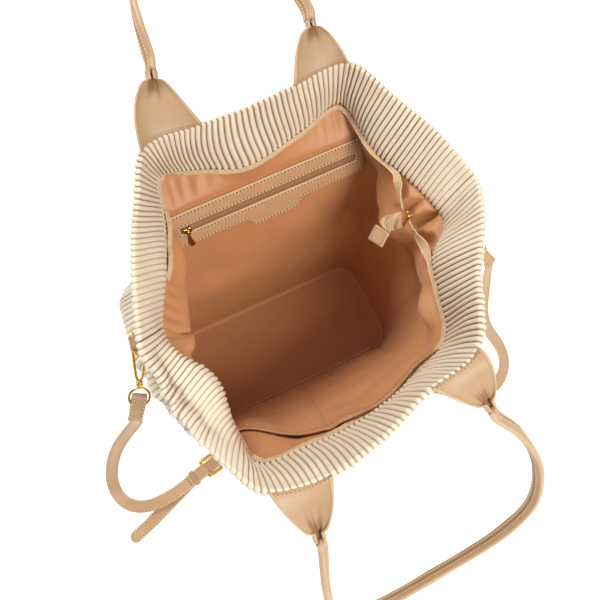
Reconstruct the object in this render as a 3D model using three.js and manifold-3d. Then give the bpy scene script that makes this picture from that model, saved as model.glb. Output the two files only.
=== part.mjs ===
// A soft pleated tote handbag, standing open on its base: pleated leather panels with a turned-in
// collar, cloth lining with a zip pocket and a slip pocket, a mouth zip, two looped handles on
// pinched tabs, and a shoulder strap on swivel hooks. Millimetres, +Z up, +Y to the back,
// origin at the middle of the base on the floor.
import * as THREE from "three";
import { mergeVertices } from "three/addons/utils/BufferGeometryUtils.js";
import Module from "manifold-3d";

const wasm = await Module();
wasm.setup();

// Driving dimensions
const base = { length: 250, depth: 128, corner: 32, thick: 2.5 };
const wall = { seat: 2.9, core: 1.4, rib: 2.2, bellyHeight: 175, bellyShare: 0.71 };
const collar = { neckHeight: 245, foldHeight: 285, core: 3.6 };
const pleatsPerPanel = 97;
const seamGap = 0.0006;
const cloth = { thick: 1, gap: 2, floor: 4.4, top: 0.645 };
const tab = { halfNeck: 5.2, thick: 2.4, curl: 8.5, seamGap: 1.7 };
const handle = { wide: 12.5, thick: 6.5, gap: 0.6, straight: 10, chamfer: 0.6 };
const strap = { wide: 14, thick: 2.2, doubled: 26 };
const wire = { ring: 11, ringCorner: 2, ringWire: 1.5, eye: 9.8, eyeWire: 1.3 };
const sideLoop = { wide: 13, thick: 2, wallGap: 0.8, stagger: 1.5 };
const fit = 0.35;

// The mouth, a row for each place round it from the left side seam by way of the front.
// The neck is where the collar turns out, the fold is the collar's top edge, lift is the fold's
// height over its usual one, and belly is how far the wall below stands out of a straight line.
const mouth = [
  { at: "left seam", neckX: -110, neckY: -10, foldX: -135, foldY: -25, lift: -5, belly: 44 },
  { at: "left front", neckX: -103, neckY: -42, foldX: -138, foldY: -56, lift: -6, belly: 33 },
  { at: "left bulge", neckX: -95, neckY: -80, foldX: -136, foldY: -103, lift: -5, belly: 12 },
  { at: "left nip", neckX: -91, neckY: -120, foldX: -110, foldY: -151, lift: 0, belly: 6 },
  { at: "front left corner", neckX: -86, neckY: -147, foldX: -91, foldY: -181, lift: 3, belly: 4 },
  { at: "front left tab", neckX: -50, neckY: -152, foldX: -41, foldY: -191, lift: 0, belly: 4 },
  { at: "front middle", neckX: 0, neckY: -150, foldX: 7, foldY: -184, lift: -3, belly: 5 },
  { at: "front right tab", neckX: 48, neckY: -143, foldX: 59, foldY: -166, lift: 0, belly: 4 },
  { at: "front right corner", neckX: 104, neckY: -125, foldX: 113, foldY: -156, lift: 3, belly: 4 },
  { at: "right front", neckX: 121, neckY: -85, foldX: 152, foldY: -98, lift: -2, belly: 8 },
  { at: "right bulge", neckX: 139, neckY: -49, foldX: 180, foldY: -60, lift: -3, belly: 12 },
  { at: "right seam", neckX: 160, neckY: -12, foldX: 196, foldY: -12, lift: -3, belly: 14 },
  { at: "right back", neckX: 149, neckY: 32, foldX: 184, foldY: 42, lift: -2, belly: 18 },
  { at: "right nip", neckX: 138, neckY: 72, foldX: 168, foldY: 86, lift: 0, belly: 32 },
  { at: "back right corner", neckX: 133, neckY: 126, foldX: 145, foldY: 141, lift: 3, belly: 30 },
  { at: "back right tab", neckX: 76, neckY: 113, foldX: 87, foldY: 142, lift: 0, belly: 8 },
  { at: "back middle", neckX: 24, neckY: 115, foldX: 39, foldY: 141, lift: -3, belly: 7 },
  { at: "back left tab", neckX: -20, neckY: 124, foldX: -9, foldY: 142, lift: 0, belly: 4 },
  { at: "back left corner", neckX: -62, neckY: 127, foldX: -66, foldY: 141, lift: 3, belly: 4 },
  { at: "left back", neckX: -78, neckY: 86, foldX: -93, foldY: 93, lift: 0, belly: 28 },
  { at: "left fold", neckX: -88, neckY: 40, foldX: -112, foldY: 46, lift: -3, belly: 52 },
];
const rightSeamRow = mouth.findIndex((row) => row.at === "right seam");

// Folds of the loose lining: place round the bag, reach round it, depth inwards, level and height.
const liningFolds = [
  { place: 1.985, reach: 0.1, depth: 34, level: 0.53, tall: 0.13 },
  { place: 1.87, reach: 0.05, depth: 12, level: 0.55, tall: 0.12 },
  { place: 0.95, reach: 0.08, depth: 16, level: 0.42, tall: 0.12 },
  { place: 1.06, reach: 0.07, depth: 34, level: 0.42, tall: 0.12 },
];

// Materials
const material = (color, roughness, metalness = 0) =>
  new THREE.MeshStandardMaterial({ color, roughness, metalness });
const cream = material(0xe6d8c0, 0.5);
const tan = material(0xc79f78, 0.5);
const satin = material(0xb98259, 0.6);
const webbing = material(0xc3a781, 0.8);
const gold = material(0xd8a548, 0.25, 1);

const bag = new THREE.Group();
const vec = (x, y, z) => new THREE.Vector3(x, y, z);
const mix = (a, b, t) => a.clone().lerp(b, t);
const smooth = (t) => t * t * (3 - 2 * t);

function add(name, geometry, finish, parent = bag) {
  const mesh = new THREE.Mesh(geometry, finish);
  mesh.name = name;
  parent.add(mesh);
  return mesh;
}

// Triangles of a cap, on the plane that fits the polygon best.
function capTriangles(points) {
  const normal = vec(0, 0, 0);
  points.forEach((p, i) => normal.add(p.clone().cross(points[(i + 1) % points.length])));
  normal.normalize();
  const across = Math.abs(normal.z) < 0.9 ? vec(0, 0, 1).cross(normal) : vec(1, 0, 0).cross(normal);
  across.normalize();
  const upward = normal.clone().cross(across);
  const flat = points.map((p) => new THREE.Vector2(p.dot(across), p.dot(upward)));
  return THREE.ShapeUtils.triangulateShape(flat, []);
}

// A closed solid from points and triangles, turned so that its faces point out.
function closedSolid(points, index) {
  let volume = 0;
  for (let i = 0; i < index.length; i += 3) {
    volume += points[index[i]].dot(points[index[i + 1]].clone().cross(points[index[i + 2]]));
  }
  if (volume < 0) index.reverse();
  return new THREE.BufferGeometry().setFromPoints(points).setIndex(index);
}

// A closed solid through sections of equally many points, capped at its ends or joined in a ring.
function loft(sections, ring = false) {
  const count = sections[0].length;
  const index = [];
  const last = ring ? sections.length : sections.length - 1;
  for (let i = 0; i < last; i++) {
    const here = i * count;
    const next = ((i + 1) % sections.length) * count;
    for (let j = 0; j < count; j++) {
      const k = (j + 1) % count;
      index.push(here + j, next + j, next + k, here + j, next + k, here + k);
    }
  }
  if (!ring) {
    const end = (sections.length - 1) * count;
    capTriangles(sections[0]).forEach(([a, b, c]) => index.push(a, b, c));
    capTriangles(sections.at(-1)).forEach(([a, b, c]) => index.push(end + a, end + c, end + b));
  }
  return closedSolid(sections.flat(), index);
}

// A wire bent to a closed flat path.
function wireLoop(path, normal, radius, sides = 6) {
  const sections = path.map((place, i) => {
    const before = path[(i + path.length - 1) % path.length];
    const along = path[(i + 1) % path.length].clone().sub(before).normalize();
    const inward = along.clone().cross(normal);
    return Array.from({ length: sides }, (_, j) => {
      const turn = (2 * Math.PI * j) / sides;
      return place
        .clone()
        .addScaledVector(normal, radius * Math.cos(turn))
        .addScaledVector(inward, radius * Math.sin(turn));
    });
  });
  return loft(sections, true);
}

// Joins and cuts closed geometries.
function solid(geometry) {
  const bare = geometry.clone();
  bare.deleteAttribute("normal");
  bare.deleteAttribute("uv");
  const merged = mergeVertices(bare, 1e-4);
  return new wasm.Manifold(
    new wasm.Mesh({
      numProp: 3,
      vertProperties: new Float32Array(merged.attributes.position.array),
      triVerts: new Uint32Array(merged.index.array),
    }),
  );
}
function shell(made) {
  const mesh = made.getMesh();
  return new THREE.BufferGeometry()
    .setAttribute("position", new THREE.BufferAttribute(mesh.vertProperties, 3))
    .setIndex(new THREE.BufferAttribute(mesh.triVerts, 1));
}
const join = (...parts) => shell(parts.map(solid).reduce((a, b) => a.add(b)));
const cut = (body, tool) => shell(solid(body).subtract(solid(tool)));

// A group whose axes are the given ones, at a place.
function frameAt(place, x, y, z) {
  const group = new THREE.Group();
  group.setRotationFromMatrix(new THREE.Matrix4().makeBasis(x, y, z));
  group.position.copy(place);
  bag.add(group);
  return group;
}

// A closed line round the bag, read by g: 0 at the left seam, 1 at the right seam, 2 at the left again.
class Loop {
  constructor(points, half) {
    this.points = points;
    this.half = half;
    this.length = [0];
    for (let i = 1; i <= points.length; i++) {
      this.length.push(this.length[i - 1] + points[i % points.length].distanceTo(points[i - 1]));
    }
  }
  at(g) {
    const turn = ((g % 2) + 2) % 2;
    const side = Math.floor(turn);
    const from = side ? this.half : 0;
    const to = side ? this.points.length : this.half;
    const reach = this.length[from] + (turn - side) * (this.length[to] - this.length[from]);
    let low = from;
    let high = to;
    while (high - low > 1) {
      const middle = (low + high) >> 1;
      if (this.length[middle] <= reach) low = middle;
      else high = middle;
    }
    const share = (reach - this.length[low]) / (this.length[high] - this.length[low]);
    const point = mix(this.points[low], this.points[high % this.points.length], share);
    return { point, index: low + share };
  }
}

// The base outline from the middle of its left end, by way of the front.
function baseOutline(inset = 0) {
  const halfLength = base.length / 2 - inset;
  const halfDepth = base.depth / 2 - inset;
  const radius = base.corner - inset;
  const corners = [
    [-1, -1, Math.PI],
    [1, -1, 1.5 * Math.PI],
    [1, 1, 0],
    [-1, 1, 0.5 * Math.PI],
  ];
  const steps = 6;
  const points = [vec(-halfLength, 0, 0)];
  corners.forEach(([sx, sy, from], corner) => {
    if (corner === 2) points.push(vec(halfLength, 0, 0));
    for (let i = 0; i <= steps; i++) {
      const turn = from + (i / steps) * 0.5 * Math.PI;
      const x = sx * (halfLength - radius) + radius * Math.cos(turn);
      const y = sy * (halfDepth - radius) + radius * Math.sin(turn);
      points.push(vec(x, y, 0));
    }
  });
  return points;
}

const perRow = 24;
function mouthLoop(pointOf) {
  const curve = new THREE.CatmullRomCurve3(mouth.map(pointOf), true, "catmullrom", 0.5);
  return new Loop(curve.getPoints(mouth.length * perRow).slice(0, -1), rightSeamRow * perRow);
}
const outline = baseOutline();
const baseLoop = new Loop(outline, outline.findIndex((p) => p.x === base.length / 2 && p.y === 0));
const neckLoop = mouthLoop((row) => vec(row.neckX, row.neckY, collar.neckHeight));
const foldLoop = mouthLoop((row) => vec(row.foldX, row.foldY, collar.foldHeight + row.lift));

function bellyAt(index) {
  const row = Math.floor(index / perRow);
  const share = smooth(index / perRow - row);
  const here = mouth[row % mouth.length].belly;
  return here + (mouth[(row + 1) % mouth.length].belly - here) * share;
}

// The middle of the wall: g goes round the bag, and v goes up from the base at 0 by way of the
// belly at a third and the neck at two thirds to the fold at 1.
const bellyLevel = 1 / 3;
const neckLevel = 2 / 3;
function wallPoint(g, v) {
  const foot = baseLoop.at(g).point.setZ(wall.seat);
  const { point: neck, index } = neckLoop.at(g);
  const fold = foldLoop.at(g).point;
  const step = neckLoop.at(g + 0.004).point.sub(neckLoop.at(g - 0.004).point).normalize();
  const belly = mix(foot, neck, wall.bellyShare).setZ(wall.bellyHeight);
  belly.addScaledVector(vec(step.y, -step.x, 0), bellyAt(index));
  const knots = [foot, belly, neck, fold];
  const span = Math.min(Math.max(Math.floor(v * 3), 0), 2);
  const rise = knots[span + 1].sub(knots[span]);
  return knots[span].clone().addScaledVector(rise, v * 3 - span);
}
function wallUp(g, v) {
  return wallPoint(g, v + 0.01).sub(wallPoint(g, v - 0.01)).normalize();
}
function wallNormal(g, v) {
  const along = wallPoint(g + 0.006, v).sub(wallPoint(g - 0.006, v));
  return along.cross(wallUp(g, v)).normalize();
}
const wallAt = (g, v, out) => wallPoint(g, v).addScaledVector(wallNormal(g, v), out);

// A pleated panel goes in ridge and valley columns up the outside, over the fold and down the facing
// to the neck. Its plain inside has fewer columns, and fans of triangles join the two.
const columns = 2 * pleatsPerPanel;
const insideColumns = 34;
const joints = Array.from({ length: insideColumns + 1 }, (_, k) =>
  2 * Math.round((k * pleatsPerPanel) / insideColumns),
);
const columnPlace = (start, j) => start + seamGap + (j / columns) * (1 - 2 * seamGap);
function pleatedPanel(start) {
  const placeOf = (j) => columnPlace(start, j);
  const pleated = (v, core, side) =>
    Array.from({ length: columns + 1 }, (_, j) =>
      wallAt(placeOf(j), v, side * (core / 2 + (j % 2) * wall.rib)),
    );
  const plain = (v) => joints.map((j) => wallAt(placeOf(j), v, -wall.core / 2));
  const seated = (row) => row.map((p) => p.setZ(wall.seat));
  const outside = [
    seated(pleated(0, wall.core, 1)),
    pleated(bellyLevel, wall.core, 1),
    pleated(neckLevel, collar.core, 1),
    pleated(1, collar.core, 1),
    pleated(1, collar.core, -1),
    pleated(neckLevel, collar.core, -1),
  ];
  const inside = [plain(neckLevel - 0.012), plain(bellyLevel), seated(plain(0))];
  const outsideAt = (row, j) => row * (columns + 1) + j;
  const insideAt = (row, k) => outside.length * (columns + 1) + row * (insideColumns + 1) + k;
  const index = [];
  const quad = (a, b, c, d) => index.push(a, b, c, a, c, d);
  for (let row = 0; row + 1 < outside.length; row++) {
    for (let j = 0; j < columns; j++) {
      quad(outsideAt(row, j), outsideAt(row, j + 1), outsideAt(row + 1, j + 1), outsideAt(row + 1, j));
    }
  }
  for (let row = 0; row + 1 < inside.length; row++) {
    for (let k = 0; k < insideColumns; k++) {
      quad(insideAt(row, k + 1), insideAt(row + 1, k + 1), insideAt(row + 1, k), insideAt(row, k));
    }
  }
  const lastOutside = outside.length - 1;
  const lastInside = inside.length - 1;
  for (let k = 0; k < insideColumns; k++) {
    const middle = (joints[k] + joints[k + 1]) / 2;
    for (let j = joints[k]; j < joints[k + 1]; j++) {
      const tip = j < middle ? k : k + 1;
      index.push(outsideAt(lastOutside, j), outsideAt(lastOutside, j + 1), insideAt(0, tip));
      index.push(outsideAt(0, j + 1), outsideAt(0, j), insideAt(lastInside, tip));
    }
    index.push(outsideAt(lastOutside, middle), insideAt(0, k + 1), insideAt(0, k));
    index.push(outsideAt(0, middle), insideAt(lastInside, k), insideAt(lastInside, k + 1));
  }
  const points = [...outside.flat(), ...inside.flat()];
  const endOf = (j, k) => [
    ...outside.map((_, row) => outsideAt(row, j)),
    ...inside.map((_, row) => insideAt(row, k)),
  ];
  const first = endOf(0, 0);
  const last = endOf(columns, insideColumns);
  capTriangles(first.map((i) => points[i])).forEach(([a, b, c]) =>
    index.push(first[a], first[b], first[c]),
  );
  capTriangles(last.map((i) => points[i])).forEach(([a, b, c]) =>
    index.push(last[a], last[c], last[b]),
  );
  return closedSolid(points, index);
}
add("front_panel", pleatedPanel(0), cream);
add("back_panel", pleatedPanel(1), cream);

const basePlate = new THREE.Shape(baseOutline(-wall.rib).map((p) => new THREE.Vector2(p.x, p.y)));
add(
  "base_panel",
  new THREE.ExtrudeGeometry(basePlate, { depth: base.thick, bevelEnabled: false }),
  cream,
);

// The lining hangs inside the wall, and its folds come further in. At the front and the back it
// hangs flat, in a plane that leans with the wall. The floor of it lies flat.
function liningInset(g, v) {
  let inset = wall.core / 2 + cloth.gap + cloth.thick;
  liningFolds.forEach((fold) => {
    const turn = ((g - fold.place + 3) % 2) - 1;
    const round = Math.exp(-((turn / fold.reach) ** 2));
    inset += fold.depth * round * Math.exp(-(((v - fold.level) / fold.tall) ** 2));
  });
  return inset;
}
const frontPlane = { foot: -56, lean: -0.37 };
const backPlane = { foot: 56.5, lean: 0.2204 };
const flatTop = 0.6;
function liningPoint(g, v) {
  const point = wallAt(g, v, -liningInset(g, v));
  if (v < flatTop) {
    point.y = Math.min(point.y, backPlane.foot + backPlane.lean * point.z);
    point.y = Math.max(point.y, frontPlane.foot + frontPlane.lean * point.z);
  }
  return point;
}
function liningAt(g, v, lift) {
  const along = liningPoint(g + 0.004, v).sub(liningPoint(g - 0.004, v));
  const upward = liningPoint(g, v + 0.006).sub(liningPoint(g, v - 0.006));
  return liningPoint(g, v).addScaledVector(upward.cross(along).normalize(), lift);
}
const liningFoot = 0.004;
const liningLevels = [0.02, bellyLevel, 0.5, cloth.top];
function liningShell() {
  const round = [0, 1].flatMap((start) => joints.slice(0, -1).map((j) => columnPlace(start, j)));
  const layer = (lift, floor) => [
    round.map((g) => liningAt(g, liningFoot, lift).setZ(floor)),
    ...liningLevels.map((v) => round.map((g) => liningAt(g, v, lift))),
  ];
  const outer = layer(-cloth.thick, cloth.floor);
  const inner = layer(0, cloth.floor + cloth.thick);
  const count = round.length;
  const top = outer.length - 1;
  const at = (side, row, j) => (side * outer.length + row) * count + (j % count);
  const index = [];
  const quad = (a, b, c, d) => index.push(a, b, c, a, c, d);
  for (let j = 0; j < count; j++) {
    for (let row = 0; row < top; row++) {
      quad(at(0, row, j), at(0, row, j + 1), at(0, row + 1, j + 1), at(0, row + 1, j));
      quad(at(1, row, j), at(1, row + 1, j), at(1, row + 1, j + 1), at(1, row, j + 1));
    }
    quad(at(0, top, j), at(0, top, j + 1), at(1, top, j + 1), at(1, top, j));
  }
  capTriangles(outer[0]).forEach(([a, b, c]) => index.push(a, c, b));
  capTriangles(inner[0]).forEach(([a, b, c]) => index.push(at(1, 0, a), at(1, 0, b), at(1, 0, c)));
  return closedSolid([...outer, ...inner].flat(), index);
}
add("lining", liningShell(), satin);

// Places on the flat front and back of the lining, lifted off it towards the inside.
function onPlane(plane, x, height, lift) {
  const normal = vec(0, -Math.sign(plane.foot), Math.abs(plane.lean)).normalize();
  return vec(x, plane.foot + plane.lean * height, height).addScaledVector(normal, lift);
}
const onBack = (x, height, lift) => onPlane(backPlane, x, height, lift);
const onFront = (x, height, lift) => onPlane(frontPlane, x, height, lift);

// The zip pocket: a leather frame with a lobe under its slot, the closed zip and its slider.
const pocket = { left: -71, right: 138, low: 168, high: 217, lift: 0.4, thick: 1.2 };
const lobe = { left: 6, right: 75, drop: 13, edge: 7 };
const slot = { left: -62, right: 128, low: 187, high: 197 };
function pocketFrame() {
  const lobeDrop = (x) =>
    lobe.drop *
    smooth(Math.min(Math.max((x - lobe.left) / lobe.edge, 0), 1)) *
    smooth(Math.min(Math.max((lobe.right - x) / lobe.edge, 0), 1));
  const along = 20;
  const span = pocket.right - pocket.left;
  const edge = [];
  for (let i = 0; i <= along; i++) {
    const x = pocket.left + (i / along) * span;
    const inner = slot.left + (i / along) * (slot.right - slot.left);
    edge.push([x, pocket.low - lobeDrop(x), inner, slot.low]);
  }
  for (let i = along; i >= 0; i--) {
    const x = pocket.left + (i / along) * span;
    const inner = slot.left + (i / along) * (slot.right - slot.left);
    edge.push([x, pocket.high, inner, slot.high]);
  }
  return loft(
    edge.map(([x, z, innerX, innerZ]) => [
      onBack(x, z, pocket.lift),
      onBack(x, z, pocket.lift + pocket.thick),
      onBack(innerX, innerZ, pocket.lift + pocket.thick),
      onBack(innerX, innerZ, pocket.lift),
    ]),
    true,
  );
}
add("pocket_frame", pocketFrame(), tan);

function wallStrip(onSide, left, right, low, high, lift, thick, steps) {
  const sections = [];
  for (let i = 0; i <= steps; i++) {
    const x = left + (i / steps) * (right - left);
    sections.push([
      onSide(x, low, lift),
      onSide(x, high, lift),
      onSide(x, high, lift + thick),
      onSide(x, low, lift + thick),
    ]);
  }
  return loft(sections);
}
const tapeEdge = 0.4;
const tapeThick = 0.6;
add(
  "pocket_zip",
  wallStrip(
    onBack, slot.left + tapeEdge, slot.right - tapeEdge, slot.low + tapeEdge, slot.high - tapeEdge,
    pocket.lift, tapeThick, 14,
  ),
  webbing,
);

// A zip slider in its own frame: x along the zip, y up, z off the zip; its post carries the pull.
const slider = { long: 10, wide: 7.5, thick: 3, post: 1.1, postHigh: 6.2, cap: 2.1, lift: 1.4 };
const pull = { long: 26, wide: 6, thick: 1.4, eye: 1.6, top: 2.6 };
function cylinderZ(radius, low, high) {
  const made = new THREE.CylinderGeometry(radius, radius, high - low, 12);
  return made.rotateX(Math.PI / 2).translate(0, 0, (low + high) / 2);
}
function boxBetween(x0, x1, y0, y1, z0, z1) {
  const made = new THREE.BoxGeometry(x1 - x0, y1 - y0, z1 - z0);
  return made.translate((x0 + x1) / 2, (y0 + y1) / 2, (z0 + z1) / 2);
}
function sliderBody() {
  const block = boxBetween(
    -slider.long / 2, slider.long / 2, -slider.wide / 2, slider.wide / 2,
    slider.lift, slider.lift + slider.thick,
  );
  const post = cylinderZ(slider.post, slider.lift + 1, slider.lift + slider.postHigh);
  const capLow = slider.lift + slider.thick + pull.thick + 2 * fit;
  const cap = cylinderZ(slider.cap, capLow, slider.lift + slider.postHigh);
  return join(block, post, cap);
}
function pullPlate() {
  const low = slider.lift + slider.thick + fit;
  const outlineOf = new THREE.Shape();
  const half = pull.wide / 2;
  const end = pull.top + half - pull.long;
  outlineOf.moveTo(-pull.top, 0);
  outlineOf.absarc(0, 0, pull.top, Math.PI, 0, true);
  outlineOf.lineTo(half, end);
  outlineOf.absarc(0, end, half, 0, Math.PI, true);
  outlineOf.holes.push(new THREE.Path().absarc(0, 0, pull.eye, 0, 2 * Math.PI));
  const made = new THREE.ExtrudeGeometry(outlineOf, {
    depth: pull.thick,
    bevelEnabled: false,
    curveSegments: 6,
  });
  return made.translate(0, 0, low);
}
function sliderFrame(place, along, off) {
  const z = off.clone().normalize();
  const x = along.clone().addScaledVector(z, -along.dot(z)).normalize();
  return frameAt(place, x, z.clone().cross(x), z);
}
const pocketSliderX = slot.left + 7;
const pocketSliderZ = (slot.low + slot.high) / 2;
const pocketPlace = onBack(pocketSliderX, pocketSliderZ, 0);
const pocketSlider = sliderFrame(
  pocketPlace,
  vec(1, 0, 0),
  onBack(pocketSliderX, pocketSliderZ, 10).sub(pocketPlace),
);
add("pocket_slider", sliderBody(), gold, pocketSlider);
add("pocket_pull", pullPlate(), gold, pocketSlider);

// The slip pocket on the front of the lining. Its mouth gapes most at the left, where it cuts
// across the corner, and slopes up to the right.
const slip = {
  left: -83, right: 8, low: 14, highLeft: 220, highRight: 227, lift: 0.9, gape: 20, gapeFade: 2.4,
};
function slipPocket() {
  const shares = [0, 0.24, 0.54, 0.82, 1];
  const steps = 12;
  const sections = [];
  for (let i = 0; i <= steps; i++) {
    const across = i / steps;
    const x = slip.left + across * (slip.right - slip.left);
    const high = slip.highLeft + across * (slip.highRight - slip.highLeft);
    const gape = slip.gape * (1 - across) ** slip.gapeFade;
    const place = (share, lift) =>
      onFront(x, slip.low + share * (high - slip.low), slip.lift + gape * smooth(share) + lift);
    sections.push([
      ...shares.map((share) => place(share, 0)),
      ...shares.toReversed().map((share) => place(share, cloth.thick)),
    ]);
  }
  return loft(sections);
}
add("slip_pocket", slipPocket(), satin);

// A flat band along rows of place and direction across it.
function band(rows, wide, thick) {
  const sections = rows.map(({ place, across }, i) => {
    const ahead = rows[Math.min(i + 1, rows.length - 1)].place;
    const along = ahead.clone().sub(rows[Math.max(i - 1, 0)].place).normalize();
    const side = across.clone().addScaledVector(along, -across.dot(along)).normalize();
    const up = along.clone().cross(side);
    const corner = (a, b) =>
      place.clone().addScaledVector(side, (a * wide) / 2).addScaledVector(up, (b * thick) / 2);
    return [corner(-1, -1), corner(1, -1), corner(1, 1), corner(-1, 1)];
  });
  return loft(sections);
}

// The mouth zip: a tape along each long side of the neck. At the right both leave the edge and
// meet at the slider, and the zip's tail hangs from there to its leather end.
const zip = {
  wide: 9, thick: 1.1, frontStart: 0.27, backStart: 1.89, leave: 0.905, tuck: 4.4, drop: 2.4, sag: 4,
};
const zipTail = { wide: 15, thick: 1.2, endWide: 18, endThick: 3 };
const zipMeet = vec(134, -4, 238);
function zipTape(back) {
  const start = back ? zip.backStart : zip.frontStart;
  const end = back ? 2 - zip.leave : zip.leave;
  const steps = 18;
  const rows = [];
  for (let i = 0; i <= steps; i++) {
    const g = start + (i / steps) * (end - start);
    const place = wallAt(g, neckLevel - 0.004, -collar.core / 2 - wall.rib - zip.tuck);
    place.z -= zip.drop;
    const inward = wallNormal(g, neckLevel).setZ(0).normalize().negate();
    rows.push({ place, across: inward.multiplyScalar(0.8).add(vec(0, 0, -0.6)) });
  }
  const from = rows.at(-1);
  const gapToSlider = back ? vec(1, 6.5, 1) : vec(1, -6.5, 1);
  const to = zipMeet.clone().add(gapToSlider);
  const bridge = 7;
  for (let i = 1; i <= bridge; i++) {
    const t = i / bridge;
    const place = mix(from.place, to, t);
    place.z -= zip.sag * Math.sin(Math.PI * t);
    rows.push({ place, across: mix(from.across, vec(0.35, 0, -0.93), smooth(t)) });
  }
  return band(rows, zip.wide, zip.thick);
}
add("zip_tape_front", zipTape(false), webbing);
add("zip_tape_back", zipTape(true), webbing);

const mouthSlider = sliderFrame(zipMeet, vec(0, 0, 1), vec(0.95, -0.2, -0.2));
add("zip_slider", sliderBody(), gold, mouthSlider);
add("zip_pull", pullPlate().rotateZ(-Math.PI / 2), gold, mouthSlider);
const tailRows = (places) =>
  places.map(([x, y, z]) => ({ place: vec(x, y, z), across: vec(0.25, 1, 0.2) }));
const tailPlaces = [[131.5, -3.5, 231], [127, 2, 222], [122, 5, 216], [119, 4, 213]];
const tailEndPlaces = [[117.9, 3.1, 211.9], [114, 1, 209], [106, -4, 203]];
add("zip_tail", band(tailRows(tailPlaces), zipTail.wide, zipTail.thick), webbing);
add("zip_end_tab", band(tailRows(tailEndPlaces), zipTail.endWide, zipTail.endThick), tan);

// Handles: a tab grows out of the fold, narrows and curls into a channel, and carries the loop.
// Each row is a tab's two ends along the fold line, found from the mouth rows, and its neck.
const handleTabs = [
  { name: "handle_tab_front_left", from: [-91, -181], to: [-41, -191], neck: [-69, -229, 261] },
  { name: "handle_tab_front_right", from: [59, -166], to: [113, -156], neck: [104, -199, 262] },
  { name: "handle_tab_back_right", from: [145, 141], to: [87, 142], neck: [125, 183, 313] },
  { name: "handle_tab_back_left", from: [-9, 142], to: [-66, 141], neck: [-29, 196, 312] },
];
function placeOnFold([x, y]) {
  let best = 0;
  let nearest = Infinity;
  for (let g = 0; g < 2; g += 0.001) {
    const p = foldLoop.at(g).point;
    const away = (p.x - x) ** 2 + (p.y - y) ** 2;
    if (away < nearest) [best, nearest] = [g, away];
  }
  return best;
}
const tabSteps = 6;
const tabAcross = 6;
function handleTab(row) {
  const g0 = placeOnFold(row.from);
  const g1 = placeOnFold(row.to);
  const middle = (g0 + g1) / 2;
  const foot = wallPoint(middle, 1).addScaledVector(wallUp(middle, 1), tab.seamGap);
  const neck = vec(...row.neck);
  const side = foldLoop.at(g1).point.sub(foldLoop.at(g0).point).normalize();
  const leave = wallUp(middle, 1);
  const bend = foot.clone().addScaledVector(leave, 0.45 * foot.distanceTo(neck));
  const footAcross = side.clone().addScaledVector(leave, -side.dot(leave)).normalize();
  const halfFoot = foldLoop.at(g1).point.distanceTo(foldLoop.at(g0).point) / 2;
  const spine = new THREE.QuadraticBezierCurve3(foot, bend, neck);
  const sections = [];
  for (let i = 0; i <= tabSteps; i++) {
    const s = i / tabSteps;
    const place = spine.getPoint(s);
    const along = spine.getTangent(s);
    const across = side.clone().addScaledVector(along, -side.dot(along)).normalize();
    const inner = along.clone().cross(across).normalize();
    const half = tab.halfNeck + (halfFoot - tab.halfNeck) * (1 - s ** 1.8) ** 1.2;
    const curl = tab.curl * s * s;
    const line = [];
    for (let j = 0; j <= tabAcross; j++) {
      const t = (2 * j) / tabAcross - 1;
      line.push(new THREE.Vector2(half * t, curl * t * t));
    }
    const layer = (offset) =>
      line.map((p, j) => {
        const before = line[Math.max(j - 1, 0)];
        const after = line[Math.min(j + 1, tabAcross)];
        const run = after.clone().sub(before).normalize();
        const flat = p.clone().add(new THREE.Vector2(-run.y, run.x).multiplyScalar(offset));
        const t = (2 * j) / tabAcross - 1;
        const g = middle + (t * (g1 - g0)) / 2;
        const edge = wallPoint(g, 1).addScaledVector(wallUp(g, 1), tab.seamGap);
        const straight = foot.clone().addScaledVector(footAcross, halfFoot * t);
        return place
          .clone()
          .addScaledVector(across, flat.x)
          .addScaledVector(inner, flat.y)
          .addScaledVector(edge.sub(straight), (1 - s) ** 2);
      });
    sections.push([...layer(-tab.thick / 2), ...layer(tab.thick / 2).toReversed()]);
  }
  add(row.name, loft(sections), tan);
  return { end: spine.getPoint(1), along: spine.getTangent(1), side };
}
const [frontLeft, frontRight, backRight, backLeft] = handleTabs.map(handleTab);

// A handle is a folded strip swept from neck to neck: its broad side stands square to the loop.
function handleLoop(from, to, between) {
  const first = from.end.clone().addScaledVector(from.along, handle.gap);
  const last = to.end.clone().addScaledVector(to.along, handle.gap);
  const curve = new THREE.CatmullRomCurve3([
    first,
    first.clone().addScaledVector(from.along, handle.straight),
    ...between.map(([x, y, z]) => vec(x, y, z)),
    last.clone().addScaledVector(to.along, handle.straight),
    last,
  ]);
  const steps = 24;
  const { chamfer } = handle;
  const ring = [[-1, 0], [-chamfer, -1], [chamfer, -1], [1, 0], [chamfer, 1], [-chamfer, 1]];
  const spanDirection = last.clone().sub(first).normalize();
  const sections = [];
  for (let i = 0; i <= steps; i++) {
    const place = curve.getPointAt(i / steps);
    const along = curve.getTangentAt(i / steps);
    const outward = curve.getPointAt(0.5).sub(mix(first, last, 0.5)).normalize();
    const broad = spanDirection.clone().cross(outward).normalize();
    broad.addScaledVector(along, -broad.dot(along)).normalize();
    const slim = along.clone().cross(broad);
    sections.push(
      ring.map(([a, b]) =>
        place
          .clone()
          .addScaledVector(broad, (a * handle.wide) / 2)
          .addScaledVector(slim, (b * handle.thick) / 2),
      ),
    );
  }
  return loft(sections);
}
add(
  "handle_front",
  handleLoop(frontRight, frontLeft, [
    [126, -226, 228], [137, -257, 196], [127, -284, 164], [98, -298, 134],
    [24, -306, 106], [-46, -304, 132], [-80, -291, 186], [-80, -264, 236],
  ]),
  tan,
);
add(
  "handle_back",
  handleLoop(backLeft, backRight, [
    [-22, 233, 326], [-13, 278, 326], [0, 322, 304], [16, 352, 266], [52, 370, 234],
    [84, 352, 268], [102, 318, 305], [114, 272, 326], [121, 222, 328],
  ]),
  tan,
);

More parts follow.
